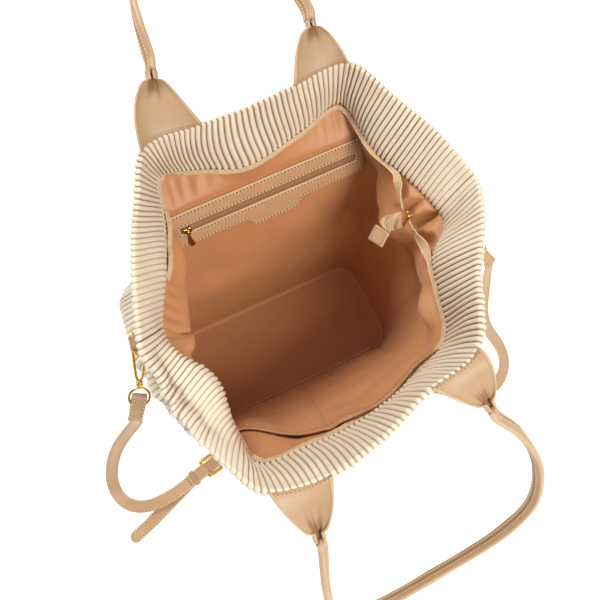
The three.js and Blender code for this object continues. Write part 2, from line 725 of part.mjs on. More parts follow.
// A strip doubled over a wire: its two layers lie in the plane of down and out, and stay apart for
// the open length below the wire's middle. The rows run from the short end to the long one.
const layerGap = 0.4;
function hairpin(wireCentre, wireRadius, open, down, out, across, thick, shortEnd, longEnd) {
  const turn = wireRadius + fit + thick / 2;
  const closed = (thick + layerGap) / 2;
  const near = open + 2.2 * turn;
  const at = (d, o) => wireCentre.clone().addScaledVector(down, d).addScaledVector(out, o);
  const slant = Math.SQRT1_2 * turn;
  const places = [
    at(shortEnd, -closed),
    at(near, -closed),
    at(open, -turn),
    at(0, -turn),
    at(-slant, -slant),
    at(-turn, 0),
    at(-slant, slant),
    at(0, turn),
    at(open, turn),
    at(near, closed),
    at(longEnd, closed),
  ];
  return places.map((place) => ({ place, across: across.clone() }));
}

// A leather loop stands out of each side seam, a ring hangs in it, and a swivel hook in the ring.
// Its own frame has x across, y up to the claw and z through it.
const hook = {
  long: 38, wide: 14, foot: 7, bar: 2.8, thick: 3.4, gateLow: 13, crotch: 8, crotchHalf: 0.8, play: 1.1,
};
const swivel = { sleeve: 3.4, low: -0.55, high: 4.95, bore: 2.1, boreHigh: 3, stem: 1.75, stemHigh: 2.5 };
const hookTop = hook.long - hook.wide / 2;
const hookEdge = (y) => hook.foot / 2 + ((hook.wide - hook.foot) / 2 / hookTop) * y;
function hookOutline() {
  const half = hook.wide / 2;
  const inner = half - hook.bar;
  const shape = new THREE.Shape();
  shape.moveTo(-hook.foot / 2, 0);
  shape.lineTo(hook.foot / 2, 0);
  shape.lineTo(hookEdge(hook.gateLow), hook.gateLow);
  shape.lineTo(hookEdge(hook.gateLow) - hook.bar, hook.gateLow);
  shape.lineTo(hook.crotchHalf, hook.crotch);
  shape.lineTo(-hook.crotchHalf, hook.crotch);
  shape.lineTo(-inner, hookTop);
  shape.absarc(0, hookTop, inner, Math.PI, 0, true);
  shape.lineTo(half, hookTop);
  shape.absarc(0, hookTop, half, 0, Math.PI, false);
  return shape;
}
function cylinderY(radius, low, high) {
  const made = new THREE.CylinderGeometry(radius, radius, high - low, 12);
  return made.translate(0, (low + high) / 2, 0);
}
function hookBody() {
  const plate = new THREE.ExtrudeGeometry(hookOutline(), {
    depth: hook.thick,
    bevelEnabled: false,
    curveSegments: 8,
  }).translate(0, 0, -hook.thick / 2);
  const sleeve = cylinderY(swivel.sleeve, swivel.low, swivel.high);
  const bore = cylinderY(swivel.bore, swivel.low - 1, swivel.boreHigh);
  return cut(join(plate, sleeve), bore);
}
// The gate closes the gap in the side, and turns about the middle of its round lower end.
const gatePivot = { x: hookEdge(hook.gateLow) - hook.bar / 2, y: hook.gateLow + hook.bar / 2 + fit };
const gateInset = 0.3;
function hookGate() {
  const high = hookTop - fit;
  const shape = new THREE.Shape();
  shape.moveTo(gatePivot.x - hook.bar / 2, gatePivot.y);
  shape.absarc(gatePivot.x, gatePivot.y, hook.bar / 2, Math.PI, 2 * Math.PI, false);
  shape.lineTo(hookEdge(high), high);
  shape.lineTo(hookEdge(high) - hook.bar, high);
  const depth = hook.thick - 2 * gateInset;
  const made = new THREE.ExtrudeGeometry(shape, { depth, bevelEnabled: false, curveSegments: 5 });
  return made.translate(0, 0, -depth / 2);
}
const eyeCentre = -1.6 - wire.eye - wire.eyeWire;
function hookEye() {
  const ring = new THREE.TorusGeometry(wire.eye, wire.eyeWire, 6, 16).translate(0, eyeCentre, 0);
  const stem = cylinderY(swivel.stem, eyeCentre + wire.eye, swivel.stemHigh);
  return join(ring, stem);
}
// Works out a side's ring, loop and hook from its place on the seam, and says where the strap goes.
function sideHardware(side, g, level, reach, lean, strapAway) {
  const out = wallNormal(g, level).setZ(0).normalize();
  const sideways = vec(-out.y, out.x, 0);
  const skin = wall.core / 2 + wall.rib;
  const top = wallAt(g, level, skin).addScaledVector(out, reach);
  const rising = vec(0, 0, 1);
  const inwards = out.clone().negate();
  const end = reach - sideLoop.wallGap;
  const loopRows = hairpin(
    top, wire.ringWire, 2, inwards, rising, sideways, sideLoop.thick, end - sideLoop.stagger, end,
  );
  add(`ring_loop_${side}`, band(loopRows, sideLoop.wide, sideLoop.thick), tan);
  const ringDrop = 0.25;
  const centre = top.clone().addScaledVector(rising, -ringDrop * wire.ring);
  const ringPath = [vec(0, 0, 0), vec(wire.ring - wire.ringCorner, 0, 0)];
  const arcSteps = 10;
  for (let i = 0; i <= arcSteps; i++) {
    const turn = (-Math.PI * i) / arcSteps;
    ringPath.push(vec(wire.ring * Math.cos(turn), wire.ring * (Math.sin(turn) - ringDrop), 0));
  }
  ringPath.push(vec(wire.ringCorner - wire.ring, 0, 0));
  const ringFrame = frameAt(top, sideways, rising, sideways.clone().cross(rising));
  add(`ring_${side}`, wireLoop(ringPath, vec(0, 0, 1), wire.ringWire), gold, ringFrame);
  const quarter = Math.SQRT1_2;
  const link = centre.clone().add(vec(0, -quarter * wire.ring, -quarter * wire.ring));
  const through = vec(0, -quarter, quarter);
  const hang = lean.clone().addScaledVector(through, -lean.dot(through)).normalize();
  const up = hang.clone().negate();
  const seat = hook.long - hook.bar - wire.ringWire - hook.play;
  const place = link.clone().addScaledVector(up, -seat);
  const hookFrame = frameAt(place, up.clone().cross(through), up, through);
  add(`hook_${side}`, hookBody(), gold, hookFrame);
  add(`hook_gate_${side}`, hookGate(), gold, hookFrame);
  add(`hook_eye_${side}`, hookEye(), gold, hookFrame);
  const eye = place.clone().addScaledVector(up, eyeCentre);
  const away = strapAway.clone().addScaledVector(through, -strapAway.dot(through)).normalize();
  return { eye, away, through, across: away.clone().negate().cross(through) };
}
const seamLevel = 0.56;
const leftSide = sideHardware("left", 0, seamLevel, 17.5, vec(-0.4, -0.6, -0.7), vec(-0.5, -0.25, -0.83));
const rightSide = sideHardware("right", 1, seamLevel, 17, vec(0.45, -0.5, -0.74), vec(0.5, -0.6, -0.62));

// A strap's route: place, and the direction across the strap as a turn in plan, in degrees.
function route(rows, steps) {
  const curve = new THREE.CatmullRomCurve3(rows.map((r) => vec(r.x, r.y, r.z)));
  const made = [];
  for (let i = 0; i <= steps; i++) {
    const t = (i / steps) * (rows.length - 1);
    const low = Math.min(Math.floor(t), rows.length - 2);
    const turn = rows[low].across + (rows[low + 1].across - rows[low].across) * (t - low);
    const angle = THREE.MathUtils.degToRad(turn);
    made.push({
      place: curve.getPoint(i / steps),
      across: vec(Math.cos(angle), Math.sin(angle), 0),
    });
  }
  return made;
}
// The wire that a strap's end is doubled over runs through the lower part of the eye.
function strapEnd(side, longEnd) {
  const open = wire.eye + wire.eyeWire + fit;
  return hairpin(
    side.eye, wire.eyeWire, open, side.away, side.through, side.across, strap.thick, strap.doubled, longEnd,
  );
}

// The buckle lies on the floor at the left front. The short strap's end is doubled over its left
// bar, with the end on top, and the long strap passes over its right bar, down through it and out
// under the short one.
const buckle = { x: -138, y: -99, turn: 13, high: 8.4, low: 4, long: 17, wide: 22, wire: 1.2 };
const buckleAlong = vec(
  Math.cos(THREE.MathUtils.degToRad(buckle.turn)),
  Math.sin(THREE.MathUtils.degToRad(buckle.turn)),
  0,
);
const buckleAcross = vec(-buckleAlong.y, buckleAlong.x, 0);
const leftBar = vec(buckle.x, buckle.y, buckle.high).addScaledVector(buckleAlong, -buckle.long / 2);
const rightBar = vec(buckle.x, buckle.y, buckle.low).addScaledVector(buckleAlong, buckle.long / 2);
function buckleFrame() {
  const corners = [
    [leftBar, -1], [leftBar, 1], [rightBar, 1], [rightBar, -1],
  ].map(([bar, s]) => bar.clone().addScaledVector(buckleAcross, (s * buckle.wide) / 2));
  const centre = mix(leftBar, rightBar, 0.5);
  const upward = rightBar.clone().sub(leftBar).cross(buckleAcross).normalize();
  const sections = corners.map((corner) => {
    const inward = centre.clone().sub(corner).normalize();
    const arm = buckle.wire * 1.3;
    const point = (a, b) => corner.clone().addScaledVector(inward, a).addScaledVector(upward, b);
    return [point(-arm, 0), point(0, -buckle.wire), point(arm, 0), point(0, buckle.wire)];
  });
  return loft(sections, true);
}
add("buckle_frame", buckleFrame(), gold);

const shortRoute = [
  { x: -178, y: -50, z: 146, across: -26 },
  { x: -194, y: -47, z: 114, across: -26 },
  { x: -217, y: -49, z: 74, across: -25 },
  { x: -237, y: -59, z: 38, across: -18 },
  { x: -247, y: -76, z: 14, across: 2 },
  { x: -243, y: -96, z: 6, across: 32 },
  { x: -225, y: -109, z: 5.4, across: 72 },
  { x: -196, y: -111, z: 6.2, across: 98 },
  { x: -174, y: -107.5, z: 7, across: 103 },
];
const doubledAtBuckle = 22;
const barEnd = hairpin(
  leftBar, buckle.wire, 3, buckleAlong.clone().negate(), vec(0, 0, -1), buckleAcross, strap.thick,
  doubledAtBuckle, 15,
);
add(
  "short_strap",
  band([...strapEnd(leftSide, 22), ...route(shortRoute, 22), ...barEnd.toReversed()],
    strap.wide, strap.thick),
  tan,
);

const floorGap = 0.2;
const floorLevel = strap.thick / 2 + floorGap;
const longRoute = [
  { x: 213, y: -66, z: 154, across: 20 },
  { x: 209, y: -80, z: 126, across: 0 },
  { x: 205, y: -93, z: 102, across: -6 },
  { x: 209, y: -109, z: 78, across: 12 },
  { x: 221, y: -129, z: 53, across: 24 },
  { x: 222, y: -150, z: 31, across: 2 },
  { x: 204, y: -165, z: 13, across: -48 },
  { x: 181, y: -161, z: 4, across: -96 },
  { x: 155, y: -142, z: floorLevel, across: -126 },
  { x: 122, y: -120, z: floorLevel, across: -120 },
  { x: 80, y: -107, z: floorLevel, across: -103 },
  { x: 20, y: -101, z: floorLevel, across: -94 },
  { x: -50, y: -98, z: floorLevel, across: -92 },
  { x: -100, y: -94, z: floorLevel + 0.6, across: -86 },
];
const overBar = buckle.low + buckle.wire + fit + strap.thick / 2 + 0.6;
const tailRoute = [
  { x: -129.7, y: -97.1, z: overBar, across: -78 },
  { x: -137, y: -98.8, z: 4.8, across: -77 },
  { x: -146, y: -100.9, z: 3.4, across: -77 },
  { x: -161, y: -104.3, z: 3.1, across: -76 },
  { x: -190, y: -114.5, z: floorLevel + 0.3, across: -71 },
  { x: -222, y: -126.5, z: floorLevel, across: -72 },
  { x: -252, y: -136, z: floorLevel, across: -73 },
];
add(
  "long_strap",
  band([...strapEnd(rightSide, 22), ...route(longRoute, 24), ...route(tailRoute, 16)],
    strap.wide, strap.thick),
  tan,
);

// The keeper is a closed leather loop round the short strap's doubled end and the tail under it.
const keeper = { away: 15, long: 6, thick: 1.2, play: 0.5, high: 9.7 };
function keeperLoop() {
  const { away, long, thick, play } = keeper;
  const halfHigh = keeper.high / 2;
  const centre = leftBar.clone().addScaledVector(buckleAlong, -away);
  centre.z = floorGap + thick + halfHigh;
  const halfWide = strap.wide / 2 + play;
  const corners = [[-1, -1], [1, -1], [1, 1], [-1, 1]];
  const sections = corners.map(([a, b]) => {
    const at = (spread, shift) =>
      centre
        .clone()
        .addScaledVector(buckleAcross, a * (halfWide + spread))
        .addScaledVector(vec(0, 0, 1), b * (halfHigh + spread))
        .addScaledVector(buckleAlong, shift);
    return [at(0, -long / 2), at(0, long / 2), at(thick, long / 2), at(thick, -long / 2)];
  });
  return loft(sections, true);
}
add("strap_keeper", keeperLoop(), tan);

export default bag;
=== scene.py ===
import bpy
import numpy as np
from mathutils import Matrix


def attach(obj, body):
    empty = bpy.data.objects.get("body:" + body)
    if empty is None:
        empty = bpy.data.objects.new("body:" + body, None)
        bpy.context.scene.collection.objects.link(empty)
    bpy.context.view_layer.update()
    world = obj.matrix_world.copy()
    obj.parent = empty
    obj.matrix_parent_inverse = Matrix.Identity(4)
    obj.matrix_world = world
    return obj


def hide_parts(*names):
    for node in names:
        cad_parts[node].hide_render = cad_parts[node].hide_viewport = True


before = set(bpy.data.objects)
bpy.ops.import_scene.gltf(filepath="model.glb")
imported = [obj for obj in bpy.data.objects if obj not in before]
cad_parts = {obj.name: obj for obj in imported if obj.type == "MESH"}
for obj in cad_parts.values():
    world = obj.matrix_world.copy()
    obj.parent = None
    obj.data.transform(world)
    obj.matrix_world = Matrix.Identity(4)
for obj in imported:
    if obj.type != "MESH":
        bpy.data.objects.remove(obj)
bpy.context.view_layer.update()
scene = bpy.context.scene

# Camera, floor and studio light

view = dict(place=(-0.0880, -0.2325, 0.8367), azimuth=-26, elevation=70, lens=42)
studio = dict(worldLight=0.3, worldColour=(1, 0.99, 0.975, 1), target=(0, 0, 0.15),
              keyLight=24.0, keyPlace=(0.34, -1.02, 1.32), keySize=0.6,
              backLight=22.0, backPlace=(-0.25, 1.2, 1.2), backSize=0.7,
              fillLight=2.0, fillPlace=(-1.3, -0.2, 0.45), fillSize=0.7,
              floorSize=6.0, floorColour=(0.97, 0.968, 0.96, 1), floorRough=0.8, floorGlow=0.44)


def aim(obj, place, target):
    # turns an object's -Z from its place to the target
    obj.location = place
    away = np.array(place) - np.array(target)
    flat = np.hypot(away[0], away[1])
    obj.rotation_euler = (np.arctan2(flat, away[2]), 0, np.arctan2(away[0], -away[1]))


def makeCamera():
    camera = bpy.data.objects.new("camera", bpy.data.cameras.new("camera"))
    camera.data.lens = view["lens"]
    camera.location = view["place"]
    camera.rotation_euler = (np.radians(90 - view["elevation"]), 0, np.radians(view["azimuth"]))
    scene.collection.objects.link(camera)
    scene.camera = camera


def makeLight(name, power, place, size):
    lamp = bpy.data.lights.new(name, "AREA")
    lamp.energy = power
    lamp.size = size
    obj = bpy.data.objects.new(name, lamp)
    aim(obj, place, studio["target"])
    scene.collection.objects.link(obj)


def makeStudio():
    world = bpy.data.worlds.new("studio")
    world.use_nodes = True
    glow = world.node_tree.nodes["Background"].inputs
    glow["Strength"].default_value = studio["worldLight"]
    glow["Color"].default_value = studio["worldColour"]
    scene.world = world
    for name in ("key", "back", "fill"):
        makeLight(name + "Light", studio[name + "Light"], studio[name + "Place"], studio[name + "Size"])
    half = studio["floorSize"] / 2
    mesh = bpy.data.meshes.new("floor")
    corners = [(-half, -half, 0), (half, -half, 0), (half, half, 0), (-half, half, 0)]
    mesh.from_pydata(corners, [], [(0, 1, 2, 3)])
    floor = bpy.data.objects.new("floor", mesh)
    paint = bpy.data.materials.new("paleFloor")
    paint.use_nodes = True
    looks = {"Base Color": studio["floorColour"], "Roughness": studio["floorRough"],
             "Emission Color": (1, 1, 1, 1), "Emission Strength": studio["floorGlow"]}
    for socket, value in looks.items():
        paint.node_tree.nodes["Principled BSDF"].inputs[socket].default_value = value
    mesh.materials.append(paint)
    scene.collection.objects.link(floor)
    scene.view_settings.view_transform = "Standard"


makeCamera()
makeStudio()
print("camera and studio ready")

# Shader sums: a wrapped socket whose operators add Math nodes


class Wire:
    def __init__(self, tree, socket):
        self.tree = tree
        self.socket = socket

    def sum(self, operation, first, second):
        node = self.tree.nodes.new("ShaderNodeMath")
        node.operation = operation
        for spot, value in zip(node.inputs, (first, second)):
            if isinstance(value, Wire):
                self.tree.links.new(value.socket, spot)
            else:
                spot.default_value = value
        return Wire(self.tree, node.outputs[0])

    def __add__(self, other):
        return self.sum("ADD", self, other)

    def __radd__(self, other):
        return self.sum("ADD", other, self)

    def __sub__(self, other):
        return self.sum("SUBTRACT", self, other)

    def __rsub__(self, other):
        return self.sum("SUBTRACT", other, self)

    def __mul__(self, other):
        return self.sum("MULTIPLY", self, other)

    def __rmul__(self, other):
        return self.sum("MULTIPLY", other, self)


class Finish:
    # a material: steady values go on the shader, and node() adds any other node

    def __init__(self, name, **steady):
        self.material = bpy.data.materials.new(name)
        self.material.use_nodes = True
        self.tree = self.material.node_tree
        self.shader = self.tree.nodes["Principled BSDF"]
        for socket, value in steady.items():
            self.shader.inputs[socket.replace("_", " ")].default_value = value

    def node(self, kind, settings, sockets, out=0):
        made = self.tree.nodes.new("ShaderNode" + kind)
        for key, value in settings.items():
            setattr(made, key, value)
        for key, value in sockets.items():
            if isinstance(value, Wire):
                self.tree.links.new(value.socket, made.inputs[key])
            else:
                made.inputs[key].default_value = value
        return Wire(self.tree, made.outputs[out])

    def here(self):
        return self.node("TexCoord", {}, {}, "Object")

    def mark(self, name):
        return self.node("Attribute", {"attribute_name": name}, {}, "Fac")

    def noise(self, scale, detail=3, place=None):
        where = place or self.here()
        return self.node("TexNoise", {}, {"Vector": where, "Scale": scale, "Detail": detail}, "Fac")

    def stretched(self, scales):
        return self.node("Mapping", {}, {"Vector": self.here(), "Scale": scales})

    def ramp(self, value, low, high):
        return self.node("MapRange", {"interpolation_type": "SMOOTHSTEP"},
                         {"Value": value, "From Min": low, "From Max": high})

    def blend(self, factor, first, second):
        return self.node("Mix", {"data_type": "RGBA"}, {0: factor, 6: first, 7: second}, 2)

    def shade(self, **wires):
        for socket, wire in wires.items():
            self.tree.links.new(wire.socket, self.shader.inputs[socket.replace("_", " ")])
        return self.material

    def relief(self, height, depth):
        return self.node("Bump", {}, {"Strength": 1.0, "Distance": depth, "Height": height})


def colour(text):
    # a hex colour as linear light
    value = np.array([int(text[i:i + 2], 16) for i in (0, 2, 4)]) / 255
    linear = np.where(value < 0.04045, value / 12.92, ((value + 0.055) / 1.055) ** 2.4)
    return (*linear, 1.0)


def creamLeather():
    finish = Finish("creamLeather", Sheen_Weight=0.08, Coat_Roughness=0.4)
    crease = finish.mark("crease")
    mottle = finish.noise(28, 4)
    fine = finish.noise(850, 4)
    across = finish.noise(1, 2, finish.stretched((210, 210, 60)))
    # painted shade: the crease mark blends the cream towards dark brown in the pleats' valleys, at the finger
    # ends and on the hidden inner face
    deep = finish.ramp(crease, 0.2, 1.0)
    lit = finish.blend(mottle, colour("E2D4BD"), colour("D6C5AA"))
    body = finish.blend(deep * 0.9, lit, colour("7C5D3A"))
    return finish.shade(
        Base_Color=body,
        Roughness=0.36 + 0.18 * mottle + 0.1 * crease,
        Normal=finish.relief(fine * 0.6 + across * 0.4, 0.00022),
    )


def tanLeather():
    finish = Finish("tanLeather", Sheen_Weight=0.05)
    rim = finish.mark("rim")
    fold = finish.mark("crease")
    mottle = finish.noise(40, 5)
    pores = finish.node("TexVoronoi", {}, {"Vector": finish.here(), "Scale": 1500.0}, "Distance")
    fine = finish.noise(700, 4)
    body = finish.blend(mottle, colour("BA9976"), colour("AB8662"))
    # the leather is blended paler along its rims
    paleRims = finish.blend(rim * 0.45, body, colour("D6B997"))
    # painted shade: the crease mark blends towards dark brown in the tabs' creases and pinch and in the
    # handles' slit; the keeper takes it evenly at half
    shaded = finish.blend(finish.ramp(fold, 0.0, 1.0) * 0.75, paleRims, colour("8A5F3C"))
    return finish.shade(
        Base_Color=shaded,
        Roughness=0.38 + 0.2 * mottle - 0.06 * rim,
        Normal=finish.relief(pores * 0.5 + fine * 0.5, 0.00016),
    )


def frameLeather():
    finish = Finish("frameLeather")
    rim = finish.mark("rim")
    mottle = finish.noise(55, 5)
    pores = finish.node("TexVoronoi", {}, {"Vector": finish.here(), "Scale": 1300.0}, "Distance")
    body = finish.blend(mottle, colour("CDA67F"), colour("BD9269"))
    # the leather is blended paler along its rims
    paleRims = finish.blend(rim * 0.5, body, colour("DDBE9A"))
    return finish.shade(
        Base_Color=paleRims,
        Roughness=0.42 + 0.16 * mottle,
        Normal=finish.relief(pores, 0.00014),
    )


def liningSatin():
    finish = Finish("liningSatin", Sheen_Weight=0.35, Sheen_Roughness=0.35)
    mottle = finish.noise(16, 4)
    twill = finish.node("TexWave", {"wave_type": "BANDS", "bands_direction": "DIAGONAL"},
                        {"Vector": finish.here(), "Scale": 420.0, "Distortion": 1.5, "Detail": 2.0}, "Fac")
    slub = finish.noise(1, 3, finish.stretched((90, 90, 700)))
    body = finish.blend(mottle, colour("C58A5A"), colour("B27647"))
    yarn = finish.blend(slub * 0.35, body, colour("CF986A"))
    return finish.shade(
        Base_Color=yarn,
        Roughness=0.40 + 0.18 * slub,
        Normal=finish.relief(twill * 0.5 + slub * 0.5, 0.00012),
    )


def wovenTape():
    finish = Finish("wovenTape")
    along = finish.mark("along")
    across = finish.mark("across")
    rib = finish.node("Math", {"operation": "SINE"}, {0: along * 3700 + across * 2600})
    fuzz = finish.noise(900, 3)
    body = finish.blend(0.5 + 0.5 * rib, colour("DFC09A"), colour("A58059"))
    tint = finish.blend(finish.noise(35, 3) * 0.4, body, colour("D8BA92"))
    return finish.shade(
        Base_Color=tint,
        Roughness=0.72 + 0.15 * fuzz,
        Normal=finish.relief(0.5 * rib + fuzz, 0.00012),
    )


def brownZip():
    finish = Finish("brownZip")
    along = finish.mark("along")
    rib = finish.node("Math", {"operation": "SINE"}, {0: along * 4800})
    fuzz = finish.noise(800, 3)
    body = finish.blend(0.5 + 0.5 * rib, colour("8F6440"), colour("A97B53"))
    return finish.shade(
        Base_Color=finish.blend(fuzz * 0.4, body, colour("7A5232")),
        Roughness=0.5 + 0.2 * fuzz,
        Normal=finish.relief(0.5 * rib + fuzz * 0.5, 0.00012),
    )


def paleGold():
    finish = Finish("paleGold", Metallic=1.0)
    haze = finish.noise(220, 4)
    rub = finish.noise(1, 3, finish.stretched((600, 600, 90)))
    body = finish.blend(haze, colour("EBC77E"), colour("D2A24E"))
    return finish.shade(
        Base_Color=body,
        Roughness=0.16 + 0.16 * rub,
        Normal=finish.relief(rub, 0.00003),
    )


def sewingThread(name, pale, dark):
    finish = Finish(name, Sheen_Weight=0.2)
    twist = finish.noise(1600, 2)
    return finish.shade(
        Base_Color=finish.blend(twist, colour(pale), colour(dark)),
        Roughness=0.55 + 0.2 * twist,
        Normal=finish.relief(twist, 0.00006),
    )


cream = creamLeather()
tan = tanLeather()
trim = frameLeather()
satin = liningSatin()
tape = wovenTape()
coil = brownZip()
gold = paleGold()
paleThread = sewingThread("paleThread", "EAD2AE", "D8B98F")
brownThread = sewingThread("brownThread", "A77A50", "8A603B")
satinThread = sewingThread("satinThread", "FFE3C0", "F0CDA6")
# small dark dots between the stitches paint the shade inside the needle holes
holeShade = sewingThread("holeShade", "6B4527", "4A2D17")
print("finishes mixed")

# Meshes from grids: a grid's rows follow a path and its columns go round a closed section


def unit(vectors):
    return vectors / np.maximum(np.linalg.norm(vectors, axis=-1, keepdims=True), 1e-12)


def smooth(t):
    t = np.clip(t, 0, 1)
    return t * t * (3 - 2 * t)


def bump(t, middle, reach):
    return np.exp(-((t - middle) / reach) ** 2)


def wobble(seed, *places, waves=6):
    # sines of seeded directions and phases added up, about -1 to 1
    draw = np.random.default_rng(seed)
    total = 0.0
    for turn, phase in zip(draw.normal(size=(waves, len(places))), draw.uniform(0, 2 * np.pi, waves)):
        total = total + np.sin(sum(t * p for t, p in zip(turn, places)) + phase)
    return total / np.sqrt(waves)


def shellOf(grid, ring=False, **marks):
    # quads between neighbours of the grid, with its two end sections capped unless it is a ring
    rows, columns = grid.shape[:2]
    r = np.arange(rows if ring else rows - 1)[:, None]
    c = np.arange(columns)[None, :]
    r2 = (r + 1) % rows
    c2 = (c + 1) % columns
    corners = (r * columns + c, r * columns + c2, r2 * columns + c2, r2 * columns + c)
    quads = np.stack(corners, -1).reshape(-1, 4)
    caps = [] if ring else [np.arange(columns)[::-1], np.arange(columns) + (rows - 1) * columns]
    points = grid.reshape(-1, 3)
    p0, p1, p2, p3 = (points[quads[:, k]] for k in range(4))
    volume = np.sum(p0 * np.cross(p1, p2)) + np.sum(p0 * np.cross(p2, p3))
    for cap in caps:
        fan = points[cap]
        volume += np.sum(fan[0] * np.cross(fan[1:-1], fan[2:]))
    if volume < 0:  # the faces look inwards
        quads = quads[:, ::-1]
        caps = [cap[::-1] for cap in caps]
    flat = {key: np.broadcast_to(value, grid.shape[:2]).reshape(-1) for key, value in marks.items()}
    return dict(points=points, quads=quads, caps=caps, marks=flat)


def makePiece(name, shells, finish, body="bag", stands=True):
    # joins the shells into one smooth mesh that rides on a body; stands says that it is shown
    # in place of the solid of the same name
    start = np.cumsum([0] + [len(shell["points"]) for shell in shells])
    points = np.vstack([shell["points"] for shell in shells])
    faces = []
    for shell, first in zip(shells, start):
        faces += (shell["quads"] + first).tolist()
        faces += [(cap + first).tolist() for cap in shell["caps"]]
    mesh = bpy.data.meshes.new(name)
    mesh.from_pydata(points.tolist(), [], faces)
    mesh.polygons.foreach_set("use_smooth", np.ones(len(mesh.polygons), bool))
    for key in sorted({key for shell in shells for key in shell["marks"]}):
        values = [shell["marks"].get(key, np.zeros(len(shell["points"]))) for shell in shells]
        layer = mesh.attributes.new(key, "FLOAT", "POINT")
        layer.data.foreach_set("value", np.concatenate(values).astype(np.float32))
    mesh.materials.append(finish)
    mesh.update()
    obj = bpy.data.objects.new(name, mesh)
    scene.collection.objects.link(obj)
    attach(obj, body)
    if stands:
        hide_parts(name)


def tiled(vector, like):
    # the same vector for each row of a path
    return np.tile(vector, (len(like), 1))


def evenRing(points, passes):
    # rounds a closed path by averaging each place with its two neighbours
    for _ in range(passes):
        points = 0.25 * np.roll(points, 1, 0) + 0.5 * points + 0.25 * np.roll(points, -1, 0)
    return points


def evened(lines, passes):
    # the same on an open path, with its ends kept
    for _ in range(passes):
        lines = np.vstack([lines[:1], 0.25 * lines[:-2] + 0.5 * lines[1:-1] + 0.25 * lines[2:], lines[-1:]])
    return lines


def cubicSpans(p1, p2, m1, m2, count):
    # cubic from each p1 to its p2 with the slopes m1 and m2, at a count of even steps
    t = (np.arange(count) / count)[None, :, None]
    p1, p2, m1, m2 = p1[:, None], p2[:, None], m1[:, None], m2[:, None]
    curve = p1 + m1 * t + (3 * p2 - 3 * p1 - 2 * m1 - m2) * t ** 2 + (2 * p1 - 2 * p2 + m1 + m2) * t ** 3
    return curve.reshape(-1, 3)


def through(points, perSpan):
    # centripetal curve through the points: returns the places and each one's row number
    points = np.asarray(points, float)
    ends = np.vstack([2 * points[0] - points[1], points, 2 * points[-1] - points[-2]])
    p0, p1, p2, p3 = ends[:-3], ends[1:-2], ends[2:-1], ends[3:]
    gap = [np.maximum(np.sqrt(np.linalg.norm(q - p, axis=1, keepdims=True)), 1e-6)
           for p, q in ((p0, p1), (p1, p2), (p2, p3))]
    m1 = ((p1 - p0) / gap[0] - (p2 - p0) / (gap[0] + gap[1]) + (p2 - p1) / gap[1]) * gap[1]
    m2 = ((p2 - p1) / gap[1] - (p3 - p1) / (gap[1] + gap[2]) + (p3 - p2) / gap[2]) * gap[1]
    places = np.vstack([cubicSpans(p1, p2, m1, m2, perSpan), points[-1:]])
    return places, np.append(np.arange(len(places) - 1) / perSpan, len(points) - 1)


def runLength(places):
    steps = np.linalg.norm(np.diff(places, axis=0), axis=1)
    return np.concatenate([[0], np.cumsum(steps)])


def spread(places, count, *others):
    # the path again at even steps of its length, with whatever goes along it
    length = runLength(places)
    even = np.linspace(0, length[-1], count)
    made = [np.stack([np.interp(even, length, line[:, k]) for k in range(line.shape[1])], -1)
            for line in (places, *others)]
    return made if others else made[0]


def headings(places, across):
    # along the path, square across it, and up off its broad side
    along = unit(np.gradient(places, axis=0))
    side = unit(across - along * np.sum(across * along, -1, keepdims=True))
    return along, side, np.cross(along, side)


def swept(places, across, section, scale=None, ring=False, **marks):
    # a section of (across, up) points carried along a path; scale widens it row by row
    along, side, up = headings(places, across)
    section = np.asarray(section)
    size = np.ones((len(places), 2)) if scale is None else scale
    grid = (places[:, None]
            + side[:, None] * (section[:, 0] * size[:, :1])[..., None]
            + up[:, None] * (section[:, 1] * size[:, 1:])[..., None])
    return shellOf(grid, ring, **marks)


def roundBar(wide, thick, power=3.0, count=24):
    # a superellipse: flat broad sides with rounded edges
    turn = np.linspace(0, 2 * np.pi, count, endpoint=False)
    c, s = np.cos(turn), np.sin(turn)
    return np.stack([wide / 2 * np.sign(c) * np.abs(c) ** (2 / power),
                     thick / 2 * np.sign(s) * np.abs(s) ** (2 / power)], -1)


def wireRing(path, normal, radius, sides=12, flat=1.0):
    # a round wire bent to a closed path whose plane has this normal
    along = unit(np.roll(path, -1, 0) - np.roll(path, 1, 0))
    inward = np.cross(along, normal)
    turn = np.linspace(0, 2 * np.pi, sides, endpoint=False)
    grid = (path[:, None] + normal * (radius * flat * np.cos(turn))[None, :, None]
            + inward[:, None] * (radius * np.sin(turn))[None, :, None])
    return shellOf(grid, True)


def turned(profile, origin, axis, sides=20):
    # a profile of (distance along the axis, radius) turned about it
    axis = unit(np.asarray(axis, float))
    helper = np.array([0, 0, 1.0]) if abs(axis[2]) < 0.9 else np.array([1.0, 0, 0])
    x = unit(np.cross(axis, helper))
    y = np.cross(axis, x)
    profile = np.asarray(profile)
    turn = np.linspace(0, 2 * np.pi, sides, endpoint=False)
    spoke = x * np.cos(turn)[:, None] + y * np.sin(turn)[:, None]
    grid = origin + profile[:, None, :1] * axis + profile[:, None, 1:] * spoke[None]
    return shellOf(grid)


